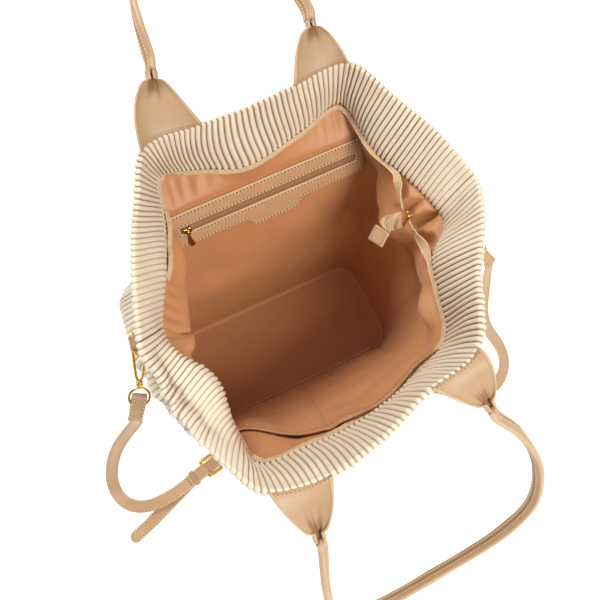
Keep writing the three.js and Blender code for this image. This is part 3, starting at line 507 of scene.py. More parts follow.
def stitchRow(places, normals, pitch, long, thick, sink=0.0, phase=0.0):
    # one small capsule for each stitch, laid along a path and set into the surface; the phase
    # moves them along by that share of the pitch
    length = runLength(places)
    count = max(int(length[-1] / pitch), 1)
    middle = (np.arange(count) + 0.5 + phase) * length[-1] / count

    def read(line):
        return np.stack([np.interp(middle, length, line[:, k]) for k in range(3)], -1)

    at, off = read(places), unit(read(normals))
    along = unit(read(np.gradient(places, axis=0)))
    side = np.cross(off, along)
    ends = np.array([-1.0, -0.8, -0.4, 0.4, 0.8, 1.0])
    girth = np.array([0.15, 0.62, 1.0, 1.0, 0.62, 0.15])
    turn = np.linspace(0, 2 * np.pi, 6, endpoint=False)
    lift = thick / 2 * (0.35 - 0.75 * ends ** 4) - sink
    radius = thick / 2 * girth[:, None]
    rise = radius * np.sin(turn) + lift[:, None]
    shells = (at[:, None, None] + along[:, None, None] * (ends * long / 2)[None, :, None, None]
              + side[:, None, None] * (radius * np.cos(turn))[None, ..., None]
              + off[:, None, None] * rise[None, ..., None])
    one = shellOf(shells[0])
    shift = np.arange(count) * len(one["points"])
    quads = (one["quads"][None] + shift[:, None, None]).reshape(-1, 4)
    caps = [cap + step for step in shift for cap in one["caps"]]
    return dict(points=shells.reshape(-1, 3), quads=quads, caps=caps, marks={})


# The bag's form: the mouth's rows go round from the left seam by way of the front

base = dict(length=0.250, depth=0.128, corner=0.032, thick=0.0025)
wall = dict(seat=0.0029, core=0.0014, rib=0.0022, bellyHeight=0.175, bellyShare=0.71, rounding=0.03)
collar = dict(neckHeight=0.245, foldHeight=0.285, core=0.0036)
mouthRows = np.array([
    # neckX, neckY, foldX, foldY, lift, belly
    (-0.115, -0.008, -0.135, -0.025, -0.005, 0.040),  # left seam
    (-0.112, -0.038, -0.138, -0.056, -0.006, 0.027),  # left front
    (-0.092, -0.070, -0.136, -0.103, -0.005, 0.012),  # left bulge
    (-0.095, -0.118, -0.110, -0.151, 0.000, 0.003),  # left nip
    (-0.090, -0.155, -0.091, -0.181, 0.003, 0.001),  # front left corner
    (-0.051, -0.161, -0.041, -0.191, 0.000, 0.001),  # front left tab
    (0.000, -0.162, 0.007, -0.184, -0.003, 0.001),  # front middle
    (0.051, -0.153, 0.059, -0.167, 0.000, 0.001),  # front right tab
    (0.108, -0.130, 0.111, -0.154, 0.003, 0.001),  # front right corner
    (0.126, -0.087, 0.148, -0.096, -0.002, 0.006),  # right front
    (0.136, -0.056, 0.176, -0.058, -0.003, 0.011),  # right bulge
    (0.160, -0.036, 0.187, -0.036, -0.003, 0.010),  # right pocket
    (0.166, -0.015, 0.193, -0.012, -0.003, 0.010),  # right seam
    (0.155, 0.035, 0.184, 0.042, -0.002, 0.014),  # right back
    (0.142, 0.073, 0.168, 0.086, 0.000, 0.030),  # right nip
    (0.137, 0.136, 0.145, 0.141, 0.003, 0.024),  # back right corner
    (0.081, 0.123, 0.087, 0.142, 0.000, 0.002),  # back right tab
    (0.022, 0.111, 0.039, 0.141, -0.003, 0.008),  # back middle
    (-0.018, 0.128, -0.009, 0.142, 0.000, 0.002),  # back left tab
    (-0.061, 0.137, -0.062, 0.140, 0.003, 0.000),  # back left corner
    (-0.075, 0.085, -0.090, 0.093, 0.000, 0.029),  # left back
    (-0.091, 0.042, -0.112, 0.046, -0.003, 0.050),  # left fold
])
rightSeamRow = 12
perRow = 24


def closedCurve(rows):
    # cubic through the rows in a ring; a row's slope is half the step between its neighbours
    ahead = np.roll(rows, -1, 0)
    slope = 0.5 * (ahead - np.roll(rows, 1, 0))
    return cubicSpans(rows, ahead, slope, np.roll(slope, -1, 0), perRow)


def roundReader(points, half):
    # reads a closed line by g: 0 at the left seam, 1 at the right seam, 2 at the left again
    closed = np.vstack([points, points[:1]])
    length = runLength(closed)

    def read(g):
        turn = np.mod(g, 2)
        behind = length[half] + (turn - 1) * (length[-1] - length[half])
        reach = np.where(turn < 1, turn * length[half], behind)
        place = np.stack([np.interp(reach, length, closed[:, k]) for k in range(3)], -1)
        return place, np.interp(reach, length, np.arange(len(closed)))

    return read


def baseOutline(inset=0.0, steps=6):
    # a rounded rectangle from the middle of its left end, by way of the front
    halfLength, halfDepth = base["length"] / 2 - inset, base["depth"] / 2 - inset
    radius = base["corner"] - inset
    arc = np.linspace(0, np.pi / 2, steps + 1)
    points = [np.array([[-halfLength, 0]])]
    for sx, sy, start in ((-1, -1, np.pi), (1, -1, 1.5 * np.pi), (1, 1, 0.0), (-1, 1, 0.5 * np.pi)):
        if (sx, sy) == (1, 1):
            points.append(np.array([[halfLength, 0]]))
        points.append(np.stack([sx * (halfLength - radius) + radius * np.cos(start + arc),
                                sy * (halfDepth - radius) + radius * np.sin(start + arc)], -1))
    flat = np.vstack(points)
    return np.column_stack([flat, np.zeros(len(flat))])


outline = baseOutline()
atRight = (outline[:, 0] == base["length"] / 2) & (outline[:, 1] == 0)
baseLine = roundReader(outline, int(np.argmax(atRight)))
neckHeights = np.full(len(mouthRows), collar["neckHeight"])
foldHeights = collar["foldHeight"] + mouthRows[:, 4]
neckCurve = closedCurve(np.column_stack([mouthRows[:, :2], neckHeights]))
foldCurve = closedCurve(np.column_stack([mouthRows[:, 2:4], foldHeights]))
neckLine = roundReader(neckCurve, rightSeamRow * perRow)
foldLine = roundReader(foldCurve, rightSeamRow * perRow)


def wallPoint(g, v):
    # the wall's middle: straight from the foot to the belly, the neck and the fold, with the
    # corners between them rounded by averaging over a little height
    g, v = np.broadcast_arrays(np.asarray(g, float), np.asarray(v, float))
    foot = baseLine(g)[0] + (0, 0, wall["seat"])
    neck, index = neckLine(g)
    fold = foldLine(g)[0]
    step = unit(neckLine(g + 0.004)[0] - neckLine(g - 0.004)[0])
    row = np.floor(index / perRow).astype(int)
    here, after = mouthRows[row % len(mouthRows), 5], mouthRows[(row + 1) % len(mouthRows), 5]
    out = here + (after - here) * smooth(index / perRow - row)
    belly = foot + (neck - foot) * wall["bellyShare"]
    belly[..., 2] = wall["bellyHeight"]
    belly = belly + np.stack([step[..., 1], -step[..., 0], np.zeros_like(out)], -1) * out[..., None]
    total = 0.0
    shifts = np.linspace(-wall["rounding"], wall["rounding"], 5)
    for shift in shifts:
        t = ((v + shift) * 3)[..., None]
        low = foot + (belly - foot) * t
        middle = belly + (neck - belly) * (t - 1)
        high = neck + (fold - neck) * (t - 2)
        total = total + np.where(t < 1, low, np.where(t < 2, middle, high))
    return total / len(shifts)


def wallUp(g, v):
    return unit(wallPoint(g, v + 0.01) - wallPoint(g, v - 0.01))


def wallNormal(g, v):
    return unit(np.cross(wallPoint(g + 0.006, v) - wallPoint(g - 0.006, v), wallUp(g, v)))


def fromPlace(g, place):
    # signed way round the bag from a place, within half a turn
    return np.mod(g - place + 1, 2) - 1


neckLevel = 2 / 3
print("bag form read")

# Handle tabs: where each sits on the fold, and where it narrows to its neck

tab = dict(halfNeck=0.0044, thick=0.0022, seamGap=0.0017, pinch=0.88, taper=0.38, cut=0.55, press=0.72,
           crease=0.0011, roll=0.0007, rows=70, across=57, stitch=(0.0033, 0.0015, 0.0009, 0.0001))
tabRows = [
    ("handle_tab_front_left", (-0.091, -0.181), (-0.041, -0.191), (-0.069, -0.229, 0.261)),
    ("handle_tab_front_right", (0.059, -0.167), (0.111, -0.154), (0.104, -0.199, 0.262)),
    ("handle_tab_back_right", (0.145, 0.141), (0.087, 0.142), (0.125, 0.183, 0.313)),
    ("handle_tab_back_left", (-0.005, 0.142), (-0.068, 0.134), (-0.029, 0.196, 0.312)),
]
allTurns = np.arange(0, 2, 0.001)
foldPlaces = foldLine(allTurns)[0]


def placeOnFold(spot):
    away = np.sum((foldPlaces[:, :2] - np.array(spot)) ** 2, -1)
    return allTurns[np.argmin(away)]


tabEnds = [(placeOnFold(first), placeOnFold(last)) for _, first, last, _ in tabRows]

# Pleated panels

pleats = dict(perPanel=97, samples=8, seamGap=0.0006, ridge=0.0026, heightSpread=0.13, wander=0.0028,
              bow=0.006, puff=0.0018, dent=0.0016, fingerEnd=0.0042, pinch=0.7, lean=0.030)
slump = dict(start=0.0, full=0.085, fade=0.15, end=0.26, crestIn=0.008, bulge=0.023, hollow=0.007, lip=0.004,
             knuckle=0.0014)


def pleatedPanel(name, start, seed):
    # each pleat is rounded in section; its line runs up the outside, over the fold in a half
    # circle and down the facing to a rounded finger end at the neck. At the left front the
    # fold has slumped inwards and the outside bulges past it
    draw = np.random.default_rng(seed)
    count, samples = pleats["perPanel"], pleats["samples"]
    k = np.arange(count * samples + 1)
    inPleat = (k % samples) / samples
    s = k // samples + (1 - np.cos(np.pi * inPleat)) / 2
    ridge = np.sin(np.pi * (s - k // samples)) ** 0.9
    pleat = np.minimum(k // samples, count - 1)
    tall = 1 + pleats["heightSpread"] * draw.normal(size=count)[pleat].clip(-1.6, 1.6)
    knuckle = slump["knuckle"] * draw.normal(size=count)[pleat].clip(-1.5, 1.5)
    share = s / count
    g0 = start + pleats["seamGap"] + share * (1 - 2 * pleats["seamGap"])
    calm = np.minimum(1, np.minimum(share, 1 - share) * 30)
    swirl = bump(g0, 0.20, 0.10) + 0.6 * bump(g0, 0.80, 0.06)
    leaning = bump(g0, 1.57, 0.10)
    soft = bump(fromPlace(g0, 1.92), 0, 0.12) + bump(fromPlace(g0, 0.98), 0, 0.12) + bump(g0, 0.2, 0.09)
    soft = np.minimum(soft + 0.45 * bump(g0, 0.5, 0.2), 1)
    slumped = smooth((g0 - slump["start"]) / slump["full"])
    slumped = slumped * smooth((slump["end"] - g0) / (slump["end"] - slump["fade"]))
    pinched = sum(smooth((g0 - min(ends) + 0.004) / 0.012) * smooth((max(ends) + 0.004 - g0) / 0.012)
                  for ends in tabEnds)

    def spot(v):
        # the column's place round the bag, wandering a little up the height
        drift = pleats["wander"] * wobble(seed + 1, g0 * 26, v * 7.0)
        bow = pleats["bow"] * swirl * np.sin(np.pi * np.clip((v - neckLevel) * 3, 0, 1))
        climb = np.clip((v - neckLevel) * 3, 0, 1)
        lean = pleats["lean"] * leaning * (1 - climb ** 2) * smooth((v - 0.3) / 0.3)
        return g0 + calm * (drift - bow + lean)

    def heightAt(v):
        flat = 1 - pleats["pinch"] * pinched * smooth((v - 0.86) / 0.14)
        sway = 1 + 0.12 * wobble(seed + 2, g0 * 60, v * 11)
        return pleats["ridge"] * (1 - 0.4 * soft) * ridge * tall * flat * sway

    def coreAt(v):
        return wall["core"] + (collar["core"] - wall["core"]) * smooth((v - 1 / 3) * 3)

    def dent(v):
        # broad shallow dents of the soft wall, none at the foot
        deep = pleats["dent"] * wobble(seed + 3, g0 * 15, v * 6)
        return deep * smooth(v * 4) * (1 - smooth((v - 0.9) * 10))

    def middleAt(v):
        # the wall's middle with the slump's move, its normal and its flat outward way
        g = spot(v)
        normal = wallNormal(g, v)
        flat = unit(normal * np.array([1, 1, 0]))
        crest = (slump["crestIn"] + knuckle) * slumped * smooth((v - 0.7) / 0.3)
        return wallPoint(g, v) - flat * crest[:, None], normal, flat

    def layer(v, side, height, more=0.0):
        middle, normal, flat = middleAt(v)
        off = side * (coreAt(v) / 2 + height) + more
        belly = slump["bulge"] * slumped * smooth((v - 0.48) / 0.32) * smooth((1 - v) / 0.17) * (side > 0)
        return middle + normal * off[:, None] + flat * belly[:, None]

    rows, shadeRows = [], []
    # painted shade for the valleys: strongest in a pleat's hollow, weaker where the pleats are soft
    valleyShade = (1 - ridge) * (1 - 0.4 * soft)
    levels = np.concatenate([np.linspace(0, 0.3, 9), np.linspace(0.34, 0.63, 11), np.linspace(0.66, 1, 18)])
    for v in levels:
        row = layer(v, 1, heightAt(v), dent(v))
        if v == 0:
            row[:, 2] = wall["seat"]
        rows.append(row)
        shadeRows.append(valleyShade)
    top, normal, _ = middleAt(1.0)
    up = wallUp(spot(1.0), 1.0)
    radius = (coreAt(1.0) / 2 + heightAt(1.0))[:, None]
    for turn in np.linspace(0, np.pi, 10)[1:-1]:
        rows.append(top + normal * radius * np.cos(turn) + up * radius * np.sin(turn) * 0.9)
        shadeRows.append(valleyShade)
    for v in np.linspace(1, neckLevel, 18):
        roll = pleats["puff"] * np.sin(np.pi * np.clip((v - neckLevel) * 3, 0, 1)) + 0.35 * dent(v)
        sunk = slump["hollow"] * bump(v, 0.87, 0.06) - slump["lip"] * bump(v, 0.73, 0.05)
        rows.append(layer(v, -1, heightAt(v), slumped * sunk - roll))
        shadeRows.append(valleyShade)
    neck, normal, _ = middleAt(neckLevel)
    up = wallUp(spot(neckLevel), neckLevel)
    for reach in (0.4, 0.75, 0.95, 1.0):
        drop = (pleats["fingerEnd"] * reach * (0.15 + 0.85 * ridge))[:, None]
        height = heightAt(neckLevel) * np.sqrt(max(1 - reach ** 2, 0))
        rows.append(neck - up * drop - normal * (collar["core"] / 2 + height)[:, None])
        # painted shade darkens the finger ends more and more towards their tips
        shadeRows.append(np.maximum(valleyShade, reach ** 2))
    for v in (0.652, 0.6, 0.5, 0.42, 0.34, 0.25, 0.12, 0.0):
        row = wallPoint(g0, v) - wallNormal(g0, v) * wall["core"] / 2
        if v == 0:
            row[:, 2] = wall["seat"]
        rows.append(row)
        # the inner face under the lining gets an even painted shade
        shadeRows.append(np.full(len(k), 0.6))
    shell = shellOf(np.stack(rows, 1), crease=np.stack(shadeRows, 1))
    makePiece(name, [shell], cream)


pleatedPanel("front_panel", 0.0, 11)
pleatedPanel("back_panel", 1.0, 23)


def basePanel():
    # rings of the rounded outline, from the middle of the underside round the edge to the top
    whole = baseOutline(-wall["rib"], 10)
    shrinks = [0.9, 0.5, 0.06, 0.0]
    edge = [(0.0, 0.25), (0.0, 0.75)]
    rings = []
    for shrink, height in [(s, 0.0) for s in shrinks] + edge + [(s, 1.0) for s in shrinks[::-1]]:
        ring = whole * (1 - shrink)
        ring[:, 2] = height * base["thick"]
        rings.append(ring)
    makePiece("base_panel", [shellOf(np.stack(rings), crease=0.0)], cream)


basePanel()
print("pleated panels and base made")

# Lining: follows the wall inside, flat at the front and back, with loose folds at the ends

cloth = dict(thick=0.001, gap=0.002, floor=0.0044, top=0.650, columns=600, sewn=0.0008, soft=0.0011,
             swell=0.0018, wrinkle=0.0022, fineWrinkle=0.0011)
frontPlane = dict(foot=-0.056, lean=-0.42)
backPlane = dict(foot=0.0565, lean=0.2204)
flatTop = 0.595
flap = dict(start=-0.27, rise=0.15, end=0.11, fall=0.075, depth=0.030, level=0.588, tall=0.045)
liningFolds = [
    # place round the bag, reach round it, depth inwards, level, height
    (1.985, 0.09, 0.012, 0.50, 0.08),
    (0.80, 0.06, 0.015, 0.555, 0.06),
    (0.96, 0.07, 0.018, 0.43, 0.11),
    (1.06, 0.07, 0.032, 0.43, 0.11),
]
gathers = [
    # place, reach, depth, gathers in a panel's length, level, height
    (1.0, 0.10, 0.0125, 17, 0.585, 0.055),
    (1.65, 0.060, 0.0026, 34, 0.612, 0.03),
    (0.315, 0.03, 0.0026, 44, 0.615, 0.02),
    (1.31, 0.05, 0.0024, 38, 0.61, 0.03),
    (1.98, 0.09, 0.0036, 44, 0.632, 0.02),
]
notch = dict(place=0.004, reach=0.005, share=0.3, level=0.60, tall=0.06)
seamCrease = dict(place=1.0, reach=0.004, depth=0.004, level=0.6, tall=0.05)
floorFold = dict(radius=0.004, frontRadius=0.001)


def onPlane(plane, x, height, lift):
    # a place on the flat front or back of the lining, lifted off it towards the inside
    normal = np.array([0, -np.sign(plane["foot"]), abs(plane["lean"])])
    normal = normal / np.linalg.norm(normal)
    x, height, lift = np.broadcast_arrays(np.asarray(x, float), height, lift)
    flat = np.stack([x, plane["foot"] + plane["lean"] * height, height], -1)
    return flat + lift[..., None] * normal


def liningInset(g, v):
    # how far the cloth stands in from the wall's middle: a plain gap, the loose folds, the flap at
    # the left end and a soft unevenness, all drawn in to nothing at the top edge
    tucked = smooth((cloth["top"] + 0.004 - v) / 0.05)
    drawn = smooth((cloth["top"] - v) / 0.022)
    round0 = fromPlace(g, 2.0)
    sides = smooth((round0 - flap["start"]) / flap["rise"]) * smooth((flap["end"] - round0) / flap["fall"])
    folds = flap["depth"] * sides * bump(v, flap["level"], flap["tall"])
    for place, reach, depth, level, tall in liningFolds:
        folds = folds + depth * bump(fromPlace(g, place), 0, reach) * bump(v, level, tall)
    folds = folds * (1 - notch["share"] * bump(fromPlace(g, notch["place"]), 0, notch["reach"])
                     * bump(v, notch["level"], notch["tall"]))
    soft = wobble(43, g * 22, v * 14) + 0.5 * wobble(44, g * 50, v * 24)
    plain = wall["core"] / 2 + cloth["sewn"] + (cloth["gap"] + cloth["thick"] - cloth["sewn"]) * drawn
    return plain + folds * tucked + cloth["soft"] * soft * smooth((0.62 - v) / 0.1) * smooth(v * 8)


def puckers(g, v):
    # gathers that hang from the sewn top edge, and the crease of the right seam
    tucked = smooth((cloth["top"] - v) / 0.02)
    depth = -seamCrease["depth"] * bump(fromPlace(g, seamCrease["place"]), 0, seamCrease["reach"])
    depth = depth * bump(v, seamCrease["level"], seamCrease["tall"])
    for place, reach, deep, number, level, tall in gathers:
        sway = 1.8 * wobble(41, g * 30, v * 6) + 0.6 * (v - level) * 40
        wave = np.sin(2 * np.pi * number * g + sway) + 0.45 * wobble(42, g * 90, v * 12)
        depth = depth + deep * bump(fromPlace(g, place), 0, reach) * (0.5 + 0.5 * wave) * bump(v, level, tall)
    return depth * tucked


cornerFold = dict(depth=0.026, end=-0.026, reach=0.068, level=0.2, top=0.245)


def cornerDepth(x):
    # how far the cloth of the front left corner hangs inwards at its fold
    return cornerFold["depth"] * smooth((cornerFold["end"] - x) / cornerFold["reach"]) ** 1.4


def liningPoint(g, v):
    # the wall drawn in, then held to the flat front and back, which have faint wrinkles low down;
    # the front left corner hangs inwards more and more up to its fold, then goes out to the neck
    point = wallPoint(g, v) - wallNormal(g, v) * liningInset(g, v)[..., None]
    ease = smooth((flatTop + 0.055 - v) / 0.095)
    x, z = point[..., 0], point[..., 2]
    slack = cloth["wrinkle"] * wobble(45, x * 60 + z * 40, z * 75)
    slack = slack + cloth["fineWrinkle"] * wobble(46, x * 120 + z * 90, z * 150)
    calm = smooth((0.158 - z) / 0.03) * smooth((z - 0.005) / 0.03)
    back = backPlane["foot"] + backPlane["lean"] * z + 0.0004 - np.abs(slack) * calm
    climb = np.clip(z / cornerFold["level"], 0, 1)
    climb = climb * smooth((cornerFold["top"] - z) / (cornerFold["top"] - cornerFold["level"]))
    front = frontPlane["foot"] + frontPlane["lean"] * z - 0.0012 + cornerDepth(x) * climb
    flat = np.maximum(np.minimum(point[..., 1], back), front)
    point[..., 1] = point[..., 1] + (flat - point[..., 1]) * ease
    return point - wallNormal(g, v) * puckers(g, v)[..., None]


def makeLining():
    # inner face from the floor's middle out and up the walls, then the outer face back down;
    # the wall meets the floor in a quarter round
    g = np.linspace(0, 2, cloth["columns"], endpoint=False)[None]
    foot = 0.004 + np.array([0, 0.0003, 0.001, 0.0022, 0.004, 0.0065, 0.0095, 0.013, 0.018])
    body = [np.linspace(0.03, 0.30, 12), np.linspace(0.32, 0.53, 20), np.linspace(0.537, cloth["top"], 32)]
    v = np.concatenate([foot, *body])
    walls = liningPoint(g, v[:, None])
    low = cloth["floor"] + cloth["thick"]
    walls[..., 2] = np.maximum(walls[..., 2], low)
    walls[0, :, 2] = low
    inFront = smooth((-walls[:1, :, 1] - 0.045) / 0.01) * smooth((0.1 - np.abs(walls[:1, :, 0])) / 0.02)
    radius = floorFold["radius"] + (floorFold["frontRadius"] - floorFold["radius"]) * inFront
    above = np.clip(1 - (walls[..., 2] - low) / radius, 0, 1)
    flat = unit(wallNormal(g, 0.1 + 0 * g) * np.array([1, 1, 0]))
    walls = walls - flat * (radius * (1 - np.sqrt(1 - above ** 2)))[..., None]
    rim = evenRing(walls[0], 40)
    middle = np.array([0, 0, low])
    shrink = np.array([0.03, 0.2, 0.4, 0.6, 0.78, 0.9, 0.965])[:, None, None]
    floor = middle + (rim - middle) * shrink
    swell = 0.5 + 0.5 * wobble(47, floor[..., 0] * 45, floor[..., 1] * 50)
    floor[..., 2] += cloth["swell"] * swell * (1 - shrink[..., 0] ** 4)
    inner = np.concatenate([floor, walls])
    around = np.roll(inner, -1, 1) - np.roll(inner, 1, 1)
    outward = unit(np.cross(around, np.gradient(inner, axis=0)))
    outer = inner + outward * cloth["thick"]
    outer[..., 2] = np.maximum(outer[..., 2], cloth["floor"] - 0.0004)
    makePiece("lining", [shellOf(np.concatenate([inner, outer[::-1]]))], satin)


makeLining()
print("lining made")

# Zip pocket on the back of the lining

pocket = dict(left=-0.071, right=0.148, low=0.168, high=0.217, lift=0.0004, thick=0.0014, corner=0.007)
lobe = dict(left=0.006, right=0.077, drop=0.013, edge=0.012)
slot = dict(left=-0.062, right=0.138, low=0.187, high=0.197, corner=0.002)
seam = dict(inset=0.0030, pitch=0.0038, long=0.0024, thick=0.0009, hole=0.0015)


def roundedBox(left, right, low, high, radius, along=110, up=24, arc=10):
    # a rounded rectangle, counter-clockwise from its lower left, with the same count on any size
    turn = np.linspace(0, np.pi / 2, arc)
    parts = []
    corners = ((left, low, np.pi), (right, low, 1.5 * np.pi), (right, high, 0.0), (left, high, 0.5 * np.pi))
    for number, (x, z, start) in enumerate(corners):
        cx = x + radius * (1 if x == left else -1)
        cz = z + radius * (1 if z == low else -1)
        bend = np.stack([cx + radius * np.cos(start + turn), cz + radius * np.sin(start + turn)], -1)
        parts.append(bend)
        nx, nz, nextStart = corners[(number + 1) % 4]
        ncx = nx + radius * (1 if nx == left else -1)
        ncz = nz + radius * (1 if nz == low else -1)
        after = np.array([ncx + radius * np.cos(nextStart), ncz + radius * np.sin(nextStart)])
        count = along if number % 2 == 0 else up
        t = np.linspace(0, 1, count + 2)[1:-1, None]
        parts.append(bend[-1] + (after - bend[-1]) * t)
    return np.vstack(parts)


def lobeDrop(x):
    # how far the frame's lower edge hangs down, easing in and out at the lobe's two ends
    fromLeft, fromRight = x - lobe["left"], lobe["right"] - x
    return lobe["drop"] * smooth(fromLeft / lobe["edge"]) * smooth(fromRight / lobe["edge"])


def pocketEdges(inset):
    # the frame's outer edge drawn in by an inset, with the lobe under it
    edge = roundedBox(pocket["left"] + inset, pocket["right"] - inset, pocket["low"] + inset,
                      pocket["high"] - inset, max(pocket["corner"] - inset, 0.001))
    under = edge[:, 1] < (pocket["low"] + pocket["high"]) / 2 - 0.02
    drop = lobeDrop(edge[:, 0]) * under
    return np.stack([edge[:, 0], edge[:, 1] - drop], -1)


def slotEdges(grow):
    return roundedBox(slot["left"] - grow, slot["right"] + grow, slot["low"] - grow, slot["high"] + grow,
                      slot["corner"] + grow)


def onBack(xz, lift):
    return onPlane(backPlane, xz[..., 0], xz[..., 1], lift)


def makePocket():
    outer, inner = pocketEdges(0), slotEdges(0)
    share = np.array([0, 0, 0.015, 0.05, 0.12, 0.2, 0.35, 0.5, 0.65, 0.8, 0.88, 0.95, 0.985, 1, 1])
    rise = np.array([0, 0.5, 0.85, 1, 0.93, 1, 1.03, 1.05, 1.03, 1, 0.93, 1, 0.85, 0.5, 0])
    xz = outer[:, None] + (inner - outer)[:, None] * share[None, :, None]
    sway = 1 + 0.12 * wobble(51, xz[..., 0] * 90, xz[..., 1] * 120)
    grid = onBack(xz, pocket["lift"] + pocket["thick"] * rise * sway)
    rim = np.where(np.abs(share - 0.5) > 0.44, 1.0, 0.0)
    makePiece("pocket_frame", [shellOf(grid, True, rim=rim)], trim)
    flat = np.tile(onPlane(backPlane, 0.0, 0.2, 1.0) - onPlane(backPlane, 0.0, 0.2, 0.0), (len(outer) + 1, 1))
    rows, holes = [], []
    for edge in (pocketEdges(seam["inset"]), slotEdges(seam["inset"])):
        path = onBack(np.vstack([edge, edge[:1]]), pocket["lift"] + pocket["thick"])
        rows.append(stitchRow(path, flat, seam["pitch"], seam["long"], seam["thick"]))
        # dark dots at the needle holes: painted shade
        holes.append(stitchRow(path, flat, seam["pitch"], seam["hole"], seam["hole"], 0.0001, 0.5))
    makePiece("pocket_stitches", rows, paleThread, stands=False)
    makePiece("pocket_hole_shade", holes, holeShade, stands=False)


def makePocketZip():
    # tape with two ribbed coils side by side down its middle
    gap = 0.0004
    x = np.arange(slot["left"] + gap, slot["right"] - gap, 0.0004)
    across = np.concatenate([[0, 0.0], np.linspace(0.02, 0.98, 23), [1.0, 1]])
    u = (across - 0.5) * 2
    half = np.abs(u)
    chain = np.sqrt(np.clip(1 - ((half - 0.19) / 0.19) ** 2, 0, 1))
    rib = 0.75 + 0.25 * np.sin(2 * np.pi * x / 0.0016)[:, None] * np.sign(u)[None]
    height = 0.0003 + 0.00035 * (half < 0.98) + 0.0012 * chain[None] * rib
    height[:, [0, -1]] = 0
    z = slot["low"] + gap + across * (slot["high"] - slot["low"] - 2 * gap)
    grid = onPlane(backPlane, x[:, None] + 0 * z, z[None] + 0 * x[:, None], pocket["lift"] + height)
    makePiece("pocket_zip", [shellOf(grid, along=x[:, None], across=across)], coil)


makePocket()
makePocketZip()

# Slip pocket across the front of the lining; at the left it cuts across the corner and gapes

slip = dict(left=-0.096, leftHigh=-0.094, right=0.098, low=0.007, hemLeft=0.200, hemRise=0.042, hemReach=0.1,
            divider=0.0, dividerLean=-0.085, lift=0.0008, slack=0.0012, hem=0.0009, turnIn=0.095,
            stitch=(0.0032, 0.0023, 0.0006), footStitch=(0.0038, 0.0028, 0.0019, -0.0005))


def slipPlace(u, w, lift):
    # u runs from the pocket's left end to its right and w up it, on the lining's flat front. The
    # hem climbs to the right; towards the left the cloth hangs inwards with the lining's corner,
    # and at the right it leans less, as the wall does. It is slack between its seams
    left = slip["left"] + (slip["leftHigh"] - slip["left"]) * w
    x = left + u * (slip["right"] - left)
    high = slip["hemLeft"] + slip["hemRise"] * smooth((x - slip["leftHigh"]) / slip["hemReach"])
    z = slip["low"] + w * (high - slip["low"])
    away = x - (slip["divider"] + slip["dividerLean"] * z)
    sewn = (1 - 0.95 * bump(away, 0, 0.006)) * smooth(u * 12) * smooth((1 - u) * 12)
    dimples = 1 + wobble(61, x * 60, z * 50) + 0.2 * wobble(62, x * 130, z * 110)
    slack = slip["slack"] * dimples * smooth(w * 6)
    place = onPlane(frontPlane, x, z, slip["lift"] + sewn * slack + lift)
    place[..., 1] += slip["turnIn"] * z * smooth((x - 0.015) / 0.085) + cornerDepth(x) * w
    return place


def makeSlip():
    # a thin sheet with a turned hem along its mouth; the far face follows the near one
    u = np.linspace(0, 1, 150)[:, None]
    w = np.concatenate([np.linspace(0, 0.93, 56), np.linspace(0.935, 1, 16)])[None]
    hem = slip["hem"] * smooth((w - 0.955) / 0.006) + 0.0004 * bump(w, 0.995, 0.006)
    u, w = np.broadcast_arrays(u, w)
    thick = cloth["thick"] * 0.7
    near = slipPlace(u, w, thick + hem)
    far = slipPlace(u, w, 0 * hem)
    grid = np.concatenate([near, far[:, ::-1]], 1)
    makePiece("slip_pocket", [shellOf(grid)], satin)
    run = np.linspace(0.02, 0.98, 160)
    even = np.ones(160)
    left = slip["left"] + (slip["leftHigh"] - slip["left"]) * run
    seamX = slip["divider"] + slip["dividerLean"] * run * (slip["hemLeft"] + slip["hemRise"])
    share = (seamX - left) / (slip["right"] - left)
    rows = []
    for across, up, lift in ((run, 0.958 * even, thick + slip["hem"]), (share, run * 0.97, thick)):
        path = slipPlace(across, up, lift + 0 * even)
        rows.append(stitchRow(path, path - slipPlace(across, up, 0 * even), *slip["stitch"]))
    makePiece("slip_stitches", rows, brownThread, stands=False)
    foot = slipPlace(run, 0.016 * even, thick + 0.0012 * even)
    row = stitchRow(foot, tiled([0, 0.6, 0.8], foot), *slip["footStitch"])
    makePiece("lining_stitches", [row], satinThread, stands=False)


makeSlip()
print("pockets made")

# Mouth zip: a tape along each long side of the neck, meeting at the slider on the right

zipper = dict(wide=0.0047, thick=0.0011, frontStart=0.282, backStart=1.905, leave=0.885, tuck=0.0011,
              drop=0.0042, hang=0.0006, hide=0.0035, sag=0.003, wideBridge=1.3, meet=(0.134, -0.004, 0.238),
              apart=0.0065, startReach=0.018, startOut=0.0035, startDrop=0.006, tooth=0.0016,
              chainHigh=0.0011, chainLow=0.0006, samples=220)
zipTail = dict(wide=0.016, thick=0.0012, crumple=0.0024, cup=0.0022, chain=0.0008, endWide=0.018,
               endThick=0.003, seam=0.0022, stitch=(0.003, 0.0021, 0.0009))


